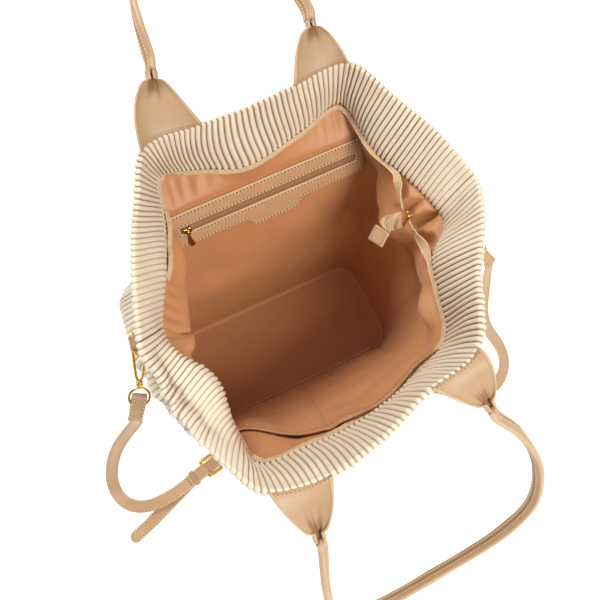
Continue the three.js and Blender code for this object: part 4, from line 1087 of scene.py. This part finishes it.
def zipTape(name, back):
    # the tape's inner edge carries the ribbed chain; its outer edge is under the collar
    start = zipper["backStart"] if back else zipper["frontStart"]
    end = 2 - zipper["leave"] if back else zipper["leave"]
    g = np.linspace(start, end, zipper["samples"])
    level = neckLevel - 0.004
    begin = 1 - smooth(np.abs(g - start) / zipper["startReach"])
    hang = smooth((g - 1.76) / 0.06) * zipper["hang"]
    hidden = zipper["hide"] * bump(g, 1.7, 0.035)
    out = collar["core"] / 2 + wall["rib"] + zipper["tuck"] + hang - zipper["startOut"] * begin - hidden
    drop = zipper["drop"] + zipper["startDrop"] * begin + hang
    places = wallPoint(g, level) - wallNormal(g, level) * out[:, None] - np.array([0, 0, 1.0]) * drop[:, None]
    inward = -wallNormal(g, neckLevel)
    inward[:, 2] = 0
    across = unit(inward) * 0.8 + np.array([0, 0, -0.6])
    t = np.linspace(0, 1, 61)[1:, None]
    apart = zipper["apart"] if back else -zipper["apart"]
    far = np.array(zipper["meet"]) + np.array([0.001, apart, 0.001])
    bridge = places[-1] + (far - places[-1]) * t - np.array([0, 0, zipper["sag"]]) * np.sin(np.pi * t)
    turnTo = np.array([0.35, 0, -0.93])
    twist = across[-1] + (turnTo - across[-1]) * smooth(t)
    places = evened(np.vstack([places, bridge]), 25)
    across = evened(np.vstack([across, twist]), 25)
    broad = np.vstack([np.zeros((len(g), 1)), np.sin(np.pi * np.clip(t * 1.06, 0, 1)) ** 0.8])
    count = int(runLength(places)[-1] / (zipper["tooth"] / 4))
    places, across, broad = spread(places, count, across, broad)
    _, side, up = headings(places, across)
    if np.mean(up[:, 2]) < 0:
        up = -up
    length = runLength(places)
    ripple = 0.0007 * wobble(71 + back, length * 130) + 0.0004 * wobble(73, length * 420)
    w = np.linspace(-0.5, 0.5, 17)
    chain = bump(w, 0.43, 0.07)
    rib = 0.6 + 0.4 * np.sin(2 * np.pi * length / zipper["tooth"])
    top = zipper["thick"] / 2 + zipper["chainHigh"] * chain[None] * rib[:, None]
    lower = zipper["thick"] / 2 + zipper["chainLow"] * chain[None] * rib[:, None]
    wide = zipper["wide"] * (w + zipper["wideBridge"] * broad * (w - 0.5))
    middle = places[:, None] + side[:, None] * wide[..., None] + up[:, None] * ripple[:, None, None]
    under = (middle - up[:, None] * lower[..., None])[:, ::-1]
    grid = np.concatenate([middle + up[:, None] * top[..., None], under], 1)
    span = np.concatenate([w, w[::-1]]) * zipper["wide"]
    makePiece(name, [shellOf(grid, along=length[:, None], across=span)], tape)


zipTape("zip_tape_front", False)
zipTape("zip_tape_back", True)


def zipEnd():
    # the closed zip's tail curls to a stitched leather end
    tailPlaces = [(0.1315, -0.0035, 0.231), (0.127, 0.002, 0.222),
                  (0.122, 0.005, 0.216), (0.119, 0.004, 0.213)]
    endPlaces = [(0.1179, 0.0031, 0.2119), (0.114, 0.001, 0.209), (0.106, -0.004, 0.203)]
    across = np.array([0.25, 1, 0.2])
    path = spread(through(tailPlaces, 20)[0], 60)
    length = runLength(path)
    _, side, up = headings(path, tiled(across, path))
    w = np.linspace(-0.5, 0.5, 19)
    rib = 0.6 + 0.4 * np.sin(2 * np.pi * length / zipper["tooth"])
    run = np.linspace(0, 1, 60)[:, None]
    waves = np.sin(np.pi * run) * np.sin(2 * np.pi * (1.4 * run + w))
    curl = zipTail["cup"] * (2 * w) ** 2 + zipTail["crumple"] * waves
    flat = path[:, None] + side[:, None] * (w * zipTail["wide"])[None, :, None]
    middle = flat + up[:, None] * curl[..., None]
    top = zipTail["thick"] / 2 + zipTail["chain"] * bump(w, 0, 0.1) * rib[:, None]
    under = (middle - up[:, None] * zipTail["thick"] / 2)[:, ::-1]
    grid = np.concatenate([middle + up[:, None] * top[..., None], under], 1)
    span = np.concatenate([w, w[::-1]]) * zipTail["wide"]
    makePiece("zip_tail", [shellOf(grid, along=length[:, None], across=span)], tape)
    path = spread(through(endPlaces, 12)[0], 30)
    section = roundBar(zipTail["endWide"], zipTail["endThick"], 6, 40)
    rim = (np.abs(section[:, 0]) > 0.46 * zipTail["endWide"]).astype(float)
    rows = np.abs(np.linspace(-1, 1, 30))
    squeeze = np.stack([0.88 + 0.12 * np.sqrt(1 - rows ** 18), 0.4 + 0.6 * np.sqrt(1 - rows ** 14)], -1)
    shell = swept(path, tiled(across, path), section, squeeze, rim=rim, crease=0.0)
    makePiece("zip_end_tab", [shell], tan)
    _, side, up = headings(path, tiled(across, path))
    if up[0, 2] < 0:
        up = -up
    inset = side * (zipTail["endWide"] / 2 - zipTail["seam"])
    corners = [path[3] - inset[3], path[-4] - inset[-4], path[-4] + inset[-4], path[3] + inset[3]]
    loop = np.vstack([np.linspace(a, b, 12) for a, b in zip(corners, corners[1:] + corners[:1])])
    top = loop + up[10] * zipTail["endThick"] / 2
    row = stitchRow(top, tiled(up[10], top), *zipTail["stitch"])
    makePiece("zip_end_stitches", [row], brownThread, stands=False)


zipEnd()

# Sliders: x runs along the zip, y across it and z off it; the pull turns on the post

slider = dict(long=0.010, wide=0.0075, thick=0.003, edge=0.0007, lift=0.0014, post=0.0011, postHigh=0.0062,
              cap=0.0021)
pull = dict(long=0.026, thick=0.0014, eye=0.0016, top=0.0026)
fit = 0.00035


def inFrame(points, place, x, y, z):
    return place + points[..., :1] * x + points[..., 1:2] * y + points[..., 2:] * z


def frameOf(place, along, off):
    z = unit(np.asarray(off, float))
    x = np.asarray(along, float)
    x = unit(x - z * np.dot(x, z))
    return np.asarray(place, float), x, np.cross(z, x), z


def slabShell(outlineAt, levels, spot):
    # rings of an outline; each level gives a height and how far the outline draws in there
    rings = [np.column_stack([outlineAt(inset), np.full(len(outlineAt(0.0)), z)]) for z, inset in levels]
    return shellOf(inFrame(np.stack(rings), *spot))


def roundEnds(low, high, edge):
    # levels of a slab whose edges are rounded by an edge radius
    turn = np.linspace(0, np.pi / 2, 5)
    bend = [(edge * (1 - np.cos(t)), edge * (1 - np.sin(t))) for t in turn]
    lower = [(low, edge * 2.5)] + [(low + rise, inset) for rise, inset in bend]
    upper = [(high - rise, inset) for rise, inset in bend[::-1]] + [(high, edge * 2.5)]
    return lower + upper


def sliderShells(spot):
    # a slab with a waist, and a post on it under a rounded cap
    def waisted(inset):
        x, y = roundBar(slider["long"] - 2 * inset, slider["wide"] - 2 * inset, 2 / 0.45, 48).T
        return np.stack([x, y * (1 - 0.2 * bump(x, -0.001, 0.0022))], -1)

    low, high = slider["lift"], slider["lift"] + slider["thick"]
    body = slabShell(waisted, roundEnds(low, high, slider["edge"]), spot)
    place, z = spot[0], spot[3]
    capLow = high + pull["thick"] + 2 * fit
    capHigh = slider["lift"] + slider["postHigh"]
    post = turned([(high - 0.001, slider["post"] * 0.9), (capLow + 0.0004, slider["post"])], place, z)
    levels = [capLow, capLow, capLow + 0.0003, capHigh - 0.0004, capHigh - 0.0001, capHigh]
    radii = slider["cap"] * np.array([0.5, 0.9, 1, 0.92, 0.7, 0.2])
    return [body, post, turned(np.column_stack([levels, radii]), place, z)]


def pullShells(spot, quarter):
    # a ring round the post, then a slim tongue that widens to a rounded drop
    place, x, y, z = spot
    if quarter:
        x, y = -y, x
    middle = slider["lift"] + slider["thick"] + fit + pull["thick"] / 2
    centre = place + z * middle
    turn = np.linspace(0, 2 * np.pi, 32, endpoint=False)[:, None]
    ringRadius = (pull["eye"] + pull["top"]) / 2
    path = centre + ringRadius * (np.cos(turn) * x + np.sin(turn) * y)
    ring = wireRing(path, z, (pull["top"] - pull["eye"]) / 2, 10, 1.25)
    end = pull["top"] - pull["long"]
    run = np.linspace(0, 1, 40)
    wide = np.interp(run, [0, 0.1, 0.3, 0.55, 0.8, 0.92, 0.98, 1], [1.5, 1.6, 2.4, 3.6, 5.4, 5.9, 4.6, 1.4])
    thick = np.interp(run, [0, 0.15, 0.8, 0.93, 1], [1.1, 1.3, 1.3, 1.35, 0.5])
    start = -ringRadius
    places = centre + y * (start + (end - start) * run)[:, None]
    scale = 0.001 * np.stack([wide, thick], -1)
    tongue = swept(places, tiled(x, places), roundBar(1.0, 1.0, 3.2, 20), scale)
    return [ring, tongue]


pocketX = slot["left"] + 0.007
pocketZ = (slot["low"] + slot["high"]) / 2
pocketSpot = frameOf(onPlane(backPlane, pocketX, pocketZ, 0.0), (1, 0, 0),
                     onPlane(backPlane, pocketX, pocketZ, 1.0) - onPlane(backPlane, pocketX, pocketZ, 0.0))
mouthSpot = frameOf(zipper["meet"], (0, 0, 1), (0.95, -0.2, -0.2))
makePiece("pocket_slider", sliderShells(pocketSpot), gold)
makePiece("pocket_pull", pullShells(pocketSpot, False), gold, "pocket_puller")
makePiece("zip_slider", sliderShells(mouthSpot), gold)
makePiece("zip_pull", pullShells(mouthSpot, True), gold, "zip_puller")
print("zips made")

# Handle tabs and handles


def makeTab(row, ends, seed):
    # s runs from the fold to the neck and t across. The strip keeps most of its width while its
    # half span falls steeply to the pinch, so its section is an arc that closes into a tube; the
    # turn of the arc is read back from half span over width. Creases fan out of the pinch
    name, _, _, neck = row
    g0, g1 = ends
    middle = (g0 + g1) / 2
    up = wallUp(middle, 1.0)
    foot = wallPoint(middle, 1.0) + up * tab["seamGap"]
    neck = np.array(neck)
    chord = foldLine(g1)[0] - foldLine(g0)[0]
    side = unit(chord)
    halfFoot = np.linalg.norm(chord) / 2
    bend = foot + up * 0.22 * np.linalg.norm(neck - foot) + (neck - foot) * 0.26
    s = np.linspace(0, 1, tab["rows"])[:, None]
    spine = foot * (1 - s) ** 2 + bend * 2 * s * (1 - s) + neck * s ** 2
    along = unit((bend - foot) * (1 - s) + (neck - bend) * s)
    across = unit(side - along * np.sum(side * along, -1, keepdims=True))
    inner = unit(np.cross(along, across))
    near = np.clip(s / tab["pinch"], 0, 1)
    half = np.maximum(halfFoot * (1 - near) ** tab["taper"], tab["halfNeck"])
    strip = 2 * halfFoot * (1 - tab["cut"] * near ** 1.5)
    turns = np.linspace(5.9, 0.02, 400)
    spans = np.where(turns < np.pi, np.sin(turns / 2), 1) / turns
    turnBy = np.interp(half / strip, spans, turns)
    radius = strip / turnBy
    t = np.linspace(-0.999, 0.999, tab["across"])[None]
    draw = np.random.default_rng(seed)
    depths = draw.uniform(0.5, 1.0, 7) * np.array([-1, 1, -1, 1, -1, 1, -1])
    spots = np.linspace(-0.75, 0.75, 7) + draw.uniform(-0.06, 0.06, 7)
    reaches = draw.uniform(0.05, 0.1, 7)
    fan = sum(d * bump(t, m, w) for d, m, w in zip(depths, spots, reaches)) * bump(t, 0, 0.55)
    crease = tab["crease"] * fan * smooth((s - 0.3) / 0.45) * (1 - 0.6 * smooth((s - 0.85) / 0.15))
    flatX = radius * np.sin(turnBy * t / 2)
    flatY = tab["press"] * (radius * (1 - np.cos(turnBy * t / 2)) - radius[-1] * smooth(s))
    run = unit(np.stack([np.gradient(flatX, axis=1), np.gradient(flatY, axis=1)], -1))
    g = middle + t * (g1 - g0) / 2
    edge = wallPoint(g, 1.0) + wallUp(g, 1.0) * tab["seamGap"]
    straight = foot + across[0] * flatX[0][:, None] + inner[0] * flatY[0][:, None]
    follow = (edge[0] - straight)[None] * ((1 - s) ** 1.3)[..., None]
    rolled = tab["roll"] * bump(np.abs(t), 0.93, 0.045)
    swell = tab["thick"] / 2 * np.sqrt(1 - np.abs(t) ** 22) * (1 - 0.45 * smooth((0.06 - s) / 0.06)) + rolled

    def face(sign):
        x = flatX - run[..., 1] * (sign * swell + crease)
        y = flatY + run[..., 0] * (sign * swell + crease)
        return spine[:, None] + across[:, None] * x[..., None] + inner[:, None] * y[..., None] + follow

    grid = np.concatenate([face(-1), face(1)[:, ::-1]], 1)
    rim = bump(np.abs(t), 0.96, 0.06) + 0 * s
    # painted shade: a wedge under the pinch and the sunken creases of the fan are marked for the tan finish
    # to darken
    pinchShade = smooth((s - 0.58) / 0.3) * bump(t, 0, 0.34)
    deep = np.minimum(np.clip(-fan, 0, 1) * smooth((s - 0.4) / 0.4) * 0.6 + 1.1 * pinchShade, 1)
    marks = dict(rim=np.concatenate([rim, rim[:, ::-1]], 1), crease=np.concatenate([deep, deep[:, ::-1]], 1))
    makePiece(name, [shellOf(grid, **marks)], tan)
    sewn = face(1)[4, 2:-2]
    normal = (face(1) - face(-1))[4, 2:-2]
    return dict(end=neck, along=along[-1]), stitchRow(sewn, normal, *tab["stitch"])


necks, tabStitches = [], []
for number, (row, ends) in enumerate(zip(tabRows, tabEnds)):
    neckOf, stitches = makeTab(row, ends, 81 + number)
    necks.append(neckOf)
    tabStitches.append(stitches)
makePiece("tab_stitches", tabStitches, brownThread, stands=False)

handle = dict(wide=0.0125, thick=0.0068, gap=0.0006, straight=0.010, slit=-0.0012, twist=0.9, untwist=0.11,
              samples=300, seam=0.0021, stitch=(0.0034, 0.0025, 0.0008))
frontHandleRoute = [
    (0.126, -0.226, 0.228), (0.137, -0.257, 0.196), (0.127, -0.284, 0.164), (0.098, -0.298, 0.134),
    (0.024, -0.306, 0.106), (-0.046, -0.304, 0.132), (-0.080, -0.291, 0.186), (-0.080, -0.264, 0.236),
]
backHandleRoute = [
    (-0.022, 0.233, 0.326), (-0.013, 0.278, 0.326), (0.000, 0.322, 0.304), (0.016, 0.352, 0.266),
    (0.052, 0.370, 0.234), (0.084, 0.352, 0.268), (0.102, 0.318, 0.305), (0.114, 0.272, 0.326),
    (0.121, 0.222, 0.328),
]


def makeHandle(name, start, end, between):
    # a strip folded over itself: a rounded bar with a slit down one broad side and sewn edges
    first = start["end"] + start["along"] * handle["gap"]
    last = end["end"] + end["along"] * handle["gap"]
    leadIn, leadOut = first + start["along"] * handle["straight"], last + end["along"] * handle["straight"]
    count = handle["samples"]
    path = spread(through([first, leadIn, *between, leadOut, last], 30)[0], count)
    length = runLength(path)
    span = unit(last - first)
    out = unit(path[count // 2] - (first + last) / 2)
    reach = np.minimum(length, length[-1] - length)[:, None]
    twist = span * handle["twist"] * (1 - smooth(reach / handle["untwist"]))
    broad = unit(unit(np.cross(span, out)) + twist)
    section = roundBar(handle["wide"], handle["thick"], 2.8, 44)
    groove = bump(section[:, 0], handle["slit"], 0.0009)
    section = section * (1 - np.stack([0 * groove, 0.22 * groove], -1))
    sway = 1 + 0.035 * wobble(91, length * 110)
    rim = (np.abs(section[:, 0]) > 0.44 * handle["wide"]) * 0.8
    # painted shade: the slit's groove is marked for the tan finish to darken
    shell = swept(path, broad, section, np.stack([sway, sway], -1), rim=rim, crease=0.9 * groove)
    makePiece(name, [shell], tan)
    _, side, up = headings(path, broad)
    rows = []
    for sign in (-1, 1):
        for offset in (handle["slit"] - handle["seam"], handle["slit"] + handle["seam"]):
            line = path + side * offset + up * sign * handle["thick"] * 0.485
            rows.append(stitchRow(line, up * sign, *handle["stitch"]))
    return rows


handleStitches = makeHandle("handle_front", necks[1], necks[0], frontHandleRoute)
handleStitches += makeHandle("handle_back", necks[3], necks[2], backHandleRoute)
makePiece("handle_stitches", handleStitches, paleThread, stands=False)
print("tabs and handles made")

# Side loops, rings and swivel hooks; a hook's own frame has x across, y up to the claw, z through it

strap = dict(wide=0.014, thick=0.0022, doubled=0.026, seam=0.0022, pitch=0.0036, stitch=0.0025, thread=0.0008,
             endPitch=0.003, endStitch=0.0022, hole=0.001)
wire = dict(ring=0.011, ringCorner=0.002, ringWire=0.0015, eye=0.0098, eyeWire=0.0013)
sideLoop = dict(wide=0.013, thick=0.002, wallGap=0.0008, stagger=0.0015)
layerGap = 0.0004
hook = dict(long=0.038, wide=0.014, foot=0.007, bar=0.0028, thick=0.0034, gateLow=0.013, play=0.0011)
swivel = dict(sleeve=0.0034, low=-0.00055, high=0.00495, stem=0.00175, stemHigh=0.0025)
hookTop = hook["long"] - hook["wide"] / 2
eyeCentre = -0.0016 - wire["eye"] - wire["eyeWire"]
seamLevel = 0.56
sides = dict(
    left=dict(g=0.0, top=(-0.144844, -0.003233, 0.224258), out=(-0.986485, 0.163853, 0),
              lean=(-0.4, -0.6, -0.7), away=(-0.5, -0.25, -0.83)),
    right=dict(g=1.0, top=(0.180955, -0.01379, 0.222745), out=(0.992933, -0.118675, 0),
               lean=(0.45, -0.5, -0.74), away=(0.5, -0.6, -0.62)),
)


def hairpin(centre, wireRadius, opened, down, out, thick, shortEnd, longEnd):
    # places of a strip doubled over a wire, from its short end round the wire to its long one
    turn = wireRadius + fit + thick / 2
    closed = (thick + layerGap) / 2
    near = opened + 2.2 * turn
    slant = np.sqrt(0.5) * turn
    rows = [(shortEnd, -closed), (near, -closed), (opened, -turn), (0, -turn), (-slant, -slant), (-turn, 0),
            (-slant, slant), (0, turn), (opened, turn), (near, closed), (longEnd, closed)]
    return np.array([centre + down * d + out * o for d, o in rows])


def strapPiece(places, across, wide, thick, step=0.0016, roundTip=0.0, held=None):
    # a flat band with rounded edges along the places, and a stitch row near each edge; between
    # the lengths held at its two ends the bends are eased by averaging
    path, row = through(places, 24)
    number = np.arange(len(across))
    turnAt = np.stack([np.interp(row, number, across[:, k]) for k in range(3)], -1)
    count = int(runLength(path)[-1] / step)
    path, turnAt = spread(path, count, unit(turnAt))
    length = runLength(path)
    if held:
        free = (smooth((length - held[0]) / 0.02) * smooth((length[-1] - held[1] - length) / 0.02))[:, None]
        path = path + (evened(path, 60) - path) * free
        turnAt = turnAt + (evened(turnAt, 60) - turnAt) * free
    section = roundBar(wide, thick, 4.5, 32)
    rim = (np.abs(section[:, 0]) > 0.43 * wide).astype(float)
    scale = np.ones((count, 2))
    if roundTip:
        left = np.clip((length[-1] - length) / roundTip, 0, 1)
        scale[:, 0] = np.sqrt(np.clip(1 - (1 - left) ** 2, 0.03, 1))
    shell = swept(path, turnAt, section, scale, rim=rim, crease=0.0)
    _, side, up = headings(path, turnAt)
    rows, holes = [], []
    for sign in (-1, 1):
        for edge in (-1, 1):
            inset = (wide / 2 - strap["seam"]) * edge
            line = (path + side * inset * scale[:, :1] + up * sign * thick / 2)[4:-4]
            off = (up * sign)[4:-4]
            rows.append(stitchRow(line, off, strap["pitch"], strap["stitch"], strap["thread"]))
            # dark dots at the needle holes: painted shade
            holes.append(stitchRow(line, off, strap["pitch"], strap["hole"], strap["hole"], 0.0001, 0.5))
    for row in rows + holes:
        row["points"][:, 2] = np.maximum(row["points"][:, 2], 0.0001)
    return shell, rows, holes


def sweepRound(points, normal, radius, perSpan=14, sides=12, flat=1.0, taper=None):
    # a round bar along a flat open path
    path, row = through(points, perSpan)
    turn = np.linspace(0, 2 * np.pi, sides, endpoint=False)
    section = radius * np.stack([flat * np.cos(turn), np.sin(turn)], -1)
    scale = None if taper is None else np.repeat(np.interp(row, np.arange(len(points)), taper)[:, None], 2, 1)
    return swept(path, tiled(normal, path), section, scale)


def hookEdge(y):
    return hook["foot"] / 2 + (hook["wide"] - hook["foot"]) / 2 / hookTop * y


def makeSide(name, plan):
    # the loop goes from the seam out to the ring's bar, the hook hangs in the ring's bow and the
    # eye turns in the hook's sleeve
    top, out = np.array(plan["top"]), np.array(plan["out"])
    sideways = np.array([-out[1], out[0], 0])
    rising = np.array([0, 0, 1.0])
    proud = wall["core"] / 2 + wall["rib"]
    skin = wallPoint(plan["g"], seamLevel) + wallNormal(plan["g"], seamLevel) * proud
    end = np.dot(top - skin, out) - sideLoop["wallGap"]
    loop = hairpin(top, wire["ringWire"], 0.002, -out, rising, sideLoop["thick"],
                   end - sideLoop["stagger"], end)
    shell, rows, holes = strapPiece(loop, tiled(sideways, loop), sideLoop["wide"], sideLoop["thick"], 0.0008)
    makePiece("ring_loop_" + name, [shell], tan)
    drop = 0.25 * wire["ring"]
    centre = top - rising * drop
    arc = np.linspace(0, -np.pi, 34)[:, None]
    bow = top + sideways * wire["ring"] * np.cos(arc) + rising * (wire["ring"] * np.sin(arc) - drop)
    corner = wire["ring"] - wire["ringCorner"]
    bar = top + sideways * np.linspace(-corner, corner, 16)[:, None]
    ring = np.vstack([bar, bow])
    for _ in range(3):
        ring = evenRing(spread(np.vstack([ring, ring[:1]]), 97)[:-1], 1)
    normal = np.cross(sideways, rising)
    makePiece("ring_" + name, [wireRing(ring, normal, wire["ringWire"])], gold)
    quarter = np.sqrt(0.5)
    link = centre + np.array([0, -quarter, -quarter]) * wire["ring"]
    axis = np.array([0, -quarter, quarter])
    lean = np.array(plan["lean"])
    up = -unit(lean - axis * np.dot(lean, axis))
    seat = hook["long"] - hook["bar"] - wire["ringWire"] - hook["play"]
    spot = (link - up * seat, np.cross(up, axis), up, axis)

    def flatPoint(x, y):
        return inFrame(np.array([x, y, 0.0]), *spot)

    half = hook["bar"] / 2
    r = hook["wide"] / 2 - half
    claw = [flatPoint(-0.0012, 0.0045), flatPoint(-hookEdge(0.009) + half * 1.1, 0.0095),
            flatPoint(-hookEdge(0.02) + half, 0.02)]
    claw += [flatPoint(r * np.cos(a), hookTop + r * np.sin(a)) for a in np.linspace(np.pi, 0.06, 9)]
    clawTaper = np.append(np.linspace(1.1, 1, len(claw) - 1), 0.9)
    stub = [flatPoint(0.0012, 0.0045), flatPoint(hookEdge(0.008) - half * 1.15, 0.0088),
            flatPoint(hookEdge(hook["gateLow"]) - half, hook["gateLow"] - 0.0003)]
    flat = hook["thick"] / hook["bar"]
    body = [sweepRound(claw, axis, half, 10, 14, flat, clawTaper), sweepRound(stub, axis, half, 10, 14, flat)]
    bottom, broad, head = swivel["low"], swivel["sleeve"], swivel["high"]
    sleeve = [(bottom, 0.0022), (bottom, 0.0029), (bottom + 0.0005, broad), (0.0015, broad),
              (0.0019, 0.0029), (0.0024, 0.0029), (0.0028, broad), (head - 0.0008, broad * 0.97),
              (head, 0.0026), (head + 0.0006, 0.0012)]
    body.append(turned(sleeve, spot[0], up))
    makePiece("hook_" + name, body, gold)
    pivotX, pivotY = hookEdge(hook["gateLow"]) - half, hook["gateLow"] + half + fit
    high = hookTop - fit
    gate = [flatPoint(pivotX, pivotY - half * 0.9), flatPoint(pivotX, pivotY),
            flatPoint(hookEdge(0.024) - half, 0.024), flatPoint(hookEdge(high) - half, high)]
    lever = [flatPoint(pivotX + 0.0006, pivotY + 0.004), flatPoint(pivotX + 0.0022, pivotY + 0.0052),
             flatPoint(pivotX + 0.0036, pivotY + 0.0056)]
    gateFlat = (hook["thick"] - 0.0006) / hook["bar"]
    shells = [sweepRound(gate, axis, half, 10, 14, gateFlat, [0.7, 1, 0.95, 0.85]),
              sweepRound(lever, axis, 0.0009, 8, 10, 1.4, [1, 1, 1.25])]
    makePiece("hook_gate_" + name, shells, gold, name + "_gate")
    eye = spot[0] + up * eyeCentre
    turn = np.linspace(0, 2 * np.pi, 64, endpoint=False)[:, None]
    circle = eye + wire["eye"] * (np.cos(turn) * spot[1] + np.sin(turn) * up)
    stem = [(eyeCentre + wire["eye"] - 0.0004, 0.0012), (eyeCentre + wire["eye"] + 0.0008, 0.0019),
            (-0.0013, swivel["stem"]), (swivel["stemHigh"], swivel["stem"])]
    shells = [wireRing(circle, axis, wire["eyeWire"]), turned(stem, spot[0], up)]
    makePiece("hook_eye_" + name, shells, gold)
    away = np.array(plan["away"])
    away = unit(away - axis * np.dot(away, axis))
    across = np.cross(-away, axis)
    return dict(eye=eye, away=away, through=axis, across=across, rows=rows, holes=holes)


leftSide = makeSide("left", sides["left"])
rightSide = makeSide("right", sides["right"])
print("rings and hooks made")

# Shoulder strap: each route row is a place, and the strap's turn across it in plan, in degrees

buckle = dict(x=-0.138, y=-0.099, turn=13, high=0.0084, low=0.004, long=0.017, wide=0.022, wire=0.0012,
              bandPlace=0.0100, bandWide=0.0043, bandThick=0.0028, bandLong=0.92)
turnBuckle = np.radians(buckle["turn"])
buckleAlong = np.array([np.cos(turnBuckle), np.sin(turnBuckle), 0])
buckleAcross = np.array([-buckleAlong[1], buckleAlong[0], 0])
leftBar = np.array([buckle["x"], buckle["y"], buckle["high"]]) - buckleAlong * buckle["long"] / 2
rightBar = np.array([buckle["x"], buckle["y"], buckle["low"]]) + buckleAlong * buckle["long"] / 2
floorLevel = strap["thick"] / 2 + 0.0002
overBar = buckle["low"] + buckle["wire"] + fit + strap["thick"] / 2 + 0.0006
shortRoute = np.array([
    (-0.180, -0.050, 0.142, -26), (-0.195, -0.048, 0.112, -26), (-0.217, -0.049, 0.074, -25),
    (-0.237, -0.059, 0.038, -18), (-0.247, -0.076, 0.014, 2), (-0.243, -0.096, 0.006, 32),
    (-0.225, -0.109, 0.0054, 72), (-0.196, -0.111, 0.0062, 98), (-0.174, -0.1075, 0.007, 103),
])
longRoute = np.array([
    (0.213, -0.066, 0.154, 20), (0.209, -0.080, 0.126, 0), (0.205, -0.093, 0.102, -6),
    (0.209, -0.109, 0.078, 12), (0.221, -0.129, 0.053, 24), (0.222, -0.150, 0.031, 2),
    (0.204, -0.165, 0.013, -48), (0.181, -0.161, 0.004, -96), (0.155, -0.142, floorLevel, -126),
    (0.122, -0.120, floorLevel, -120), (0.080, -0.107, floorLevel, -103), (0.020, -0.101, floorLevel, -94),
    (-0.050, -0.098, floorLevel, -92), (-0.100, -0.094, floorLevel + 0.0006, -86),
])
tailRoute = np.array([
    (-0.1297, -0.0971, overBar, -78), (-0.137, -0.0988, 0.0048, -77), (-0.146, -0.1009, 0.0034, -77),
    (-0.161, -0.1043, 0.0031, -76), (-0.190, -0.1145, floorLevel + 0.0003, -71),
    (-0.222, -0.1265, floorLevel, -72), (-0.252, -0.136, floorLevel, -73),
])


def planAcross(route):
    turn = np.radians(route[:, 3])
    return np.stack([np.cos(turn), np.sin(turn), 0 * turn], -1)


def strapEnd(side, longEnd):
    opened = wire["eye"] + wire["eyeWire"] + fit
    return hairpin(side["eye"], wire["eyeWire"], opened, side["away"], side["through"], strap["thick"],
                   strap["doubled"], longEnd)


def makeStraps():
    down = np.array([0, 0, -1.0])
    barEnd = hairpin(leftBar, buckle["wire"], 0.003, -buckleAlong, down, strap["thick"], 0.022, 0.015)[::-1]
    leftEnd, rightEnd = strapEnd(leftSide, 0.022), strapEnd(rightSide, 0.022)
    places = np.vstack([leftEnd, shortRoute[:, :3], barEnd])
    across = np.vstack([tiled(leftSide["across"], leftEnd), planAcross(shortRoute),
                        tiled(buckleAcross, barEnd)])
    held = (runLength(leftEnd)[-1] - 0.004, runLength(barEnd)[-1] + 0.015)
    shell, rows, holes = strapPiece(places, across, strap["wide"], strap["thick"], held=held)
    makePiece("short_strap", [shell], tan)
    places = np.vstack([rightEnd, longRoute[:, :3], tailRoute[:, :3]])
    across = np.vstack([tiled(rightSide["across"], rightEnd), planAcross(longRoute), planAcross(tailRoute)])
    held = (runLength(rightEnd)[-1] - 0.004, runLength(tailRoute[:, :3])[-1] + 0.03)
    shell, more, moreHoles = strapPiece(places, across, strap["wide"], strap["thick"], 0.0016, 0.006, held)
    makePiece("long_strap", [shell], tan)
    rows += more
    holes += moreHoles
    for side in (leftSide, rightSide):
        for sign in (-1, 1):
            closed = (strap["thick"] + layerGap) / 2 + strap["thick"] / 2
            middle = side["eye"] + side["away"] * (strap["doubled"] - 0.003) + side["through"] * sign * closed
            run = np.linspace(-0.38, 0.38, 12)[:, None] * strap["wide"]
            line = middle + side["across"] * run
            off = tiled(side["through"] * sign, line)
            rows.append(stitchRow(line, off, strap["endPitch"], strap["endStitch"], strap["thread"]))
        rows += side["rows"]
        holes += side["holes"]
    makePiece("strap_stitches", rows, paleThread, stands=False)
    makePiece("strap_hole_shade", holes, holeShade, stands=False)


def makeBuckle():
    # a wire frame with rounded corners that slopes from its high bar to its low one; its two sides
    # are broad bands
    corners = [bar + buckleAcross * sign * buckle["wide"] / 2
               for bar, sign in ((leftBar, -1), (leftBar, 1), (rightBar, 1), (rightBar, -1))]
    edges = zip(corners, corners[1:] + corners[:1])
    path = evenRing(np.vstack([np.linspace(a, b, 24, endpoint=False) for a, b in edges]), 10)
    normal = unit(np.cross(rightBar - leftBar, buckleAcross))
    shells = [wireRing(path, normal, buckle["wire"] * 1.15, 12, 0.9)]
    run = np.linspace(-1, 1, 30)[:, None]
    ends = np.sqrt(1 - 0.9 * np.abs(run) ** 10)
    for sign in (-1, 1):
        line = (leftBar + rightBar) / 2 + (rightBar - leftBar) * run * buckle["bandLong"] / 2
        line = line + buckleAcross * sign * buckle["bandPlace"]
        section = roundBar(buckle["bandWide"], buckle["bandThick"], 3.5, 20)
        shells.append(swept(line, tiled(buckleAcross, line), section, np.hstack([ends, ends])))
    makePiece("buckle_frame", shells, gold)


keeper = dict(away=0.015, long=0.006, thick=0.0012, play=0.0005, high=0.0097)


def makeKeeper():
    # a closed leather band round the straps
    centre = leftBar - buckleAlong * keeper["away"]
    centre[2] = 0.0002 + keeper["thick"] + keeper["high"] / 2
    wide = strap["wide"] + 2 * keeper["play"] + keeper["thick"]
    x, z = roundBar(wide, keeper["high"] + keeper["thick"], 2 / 0.3, 64).T
    path = centre + buckleAcross * x[:, None] + np.array([0, 0, 1.0]) * z[:, None]
    section = roundBar(keeper["long"], keeper["thick"], 4, 20)
    # the whole keeper takes half of the tan finish's crease darkening
    shell = swept(path, tiled(buckleAlong, path), section, ring=True, rim=0.0, crease=0.5)
    makePiece("strap_keeper", [shell], tan)


makeStraps()
makeBuckle()
makeKeeper()
print("strap made")
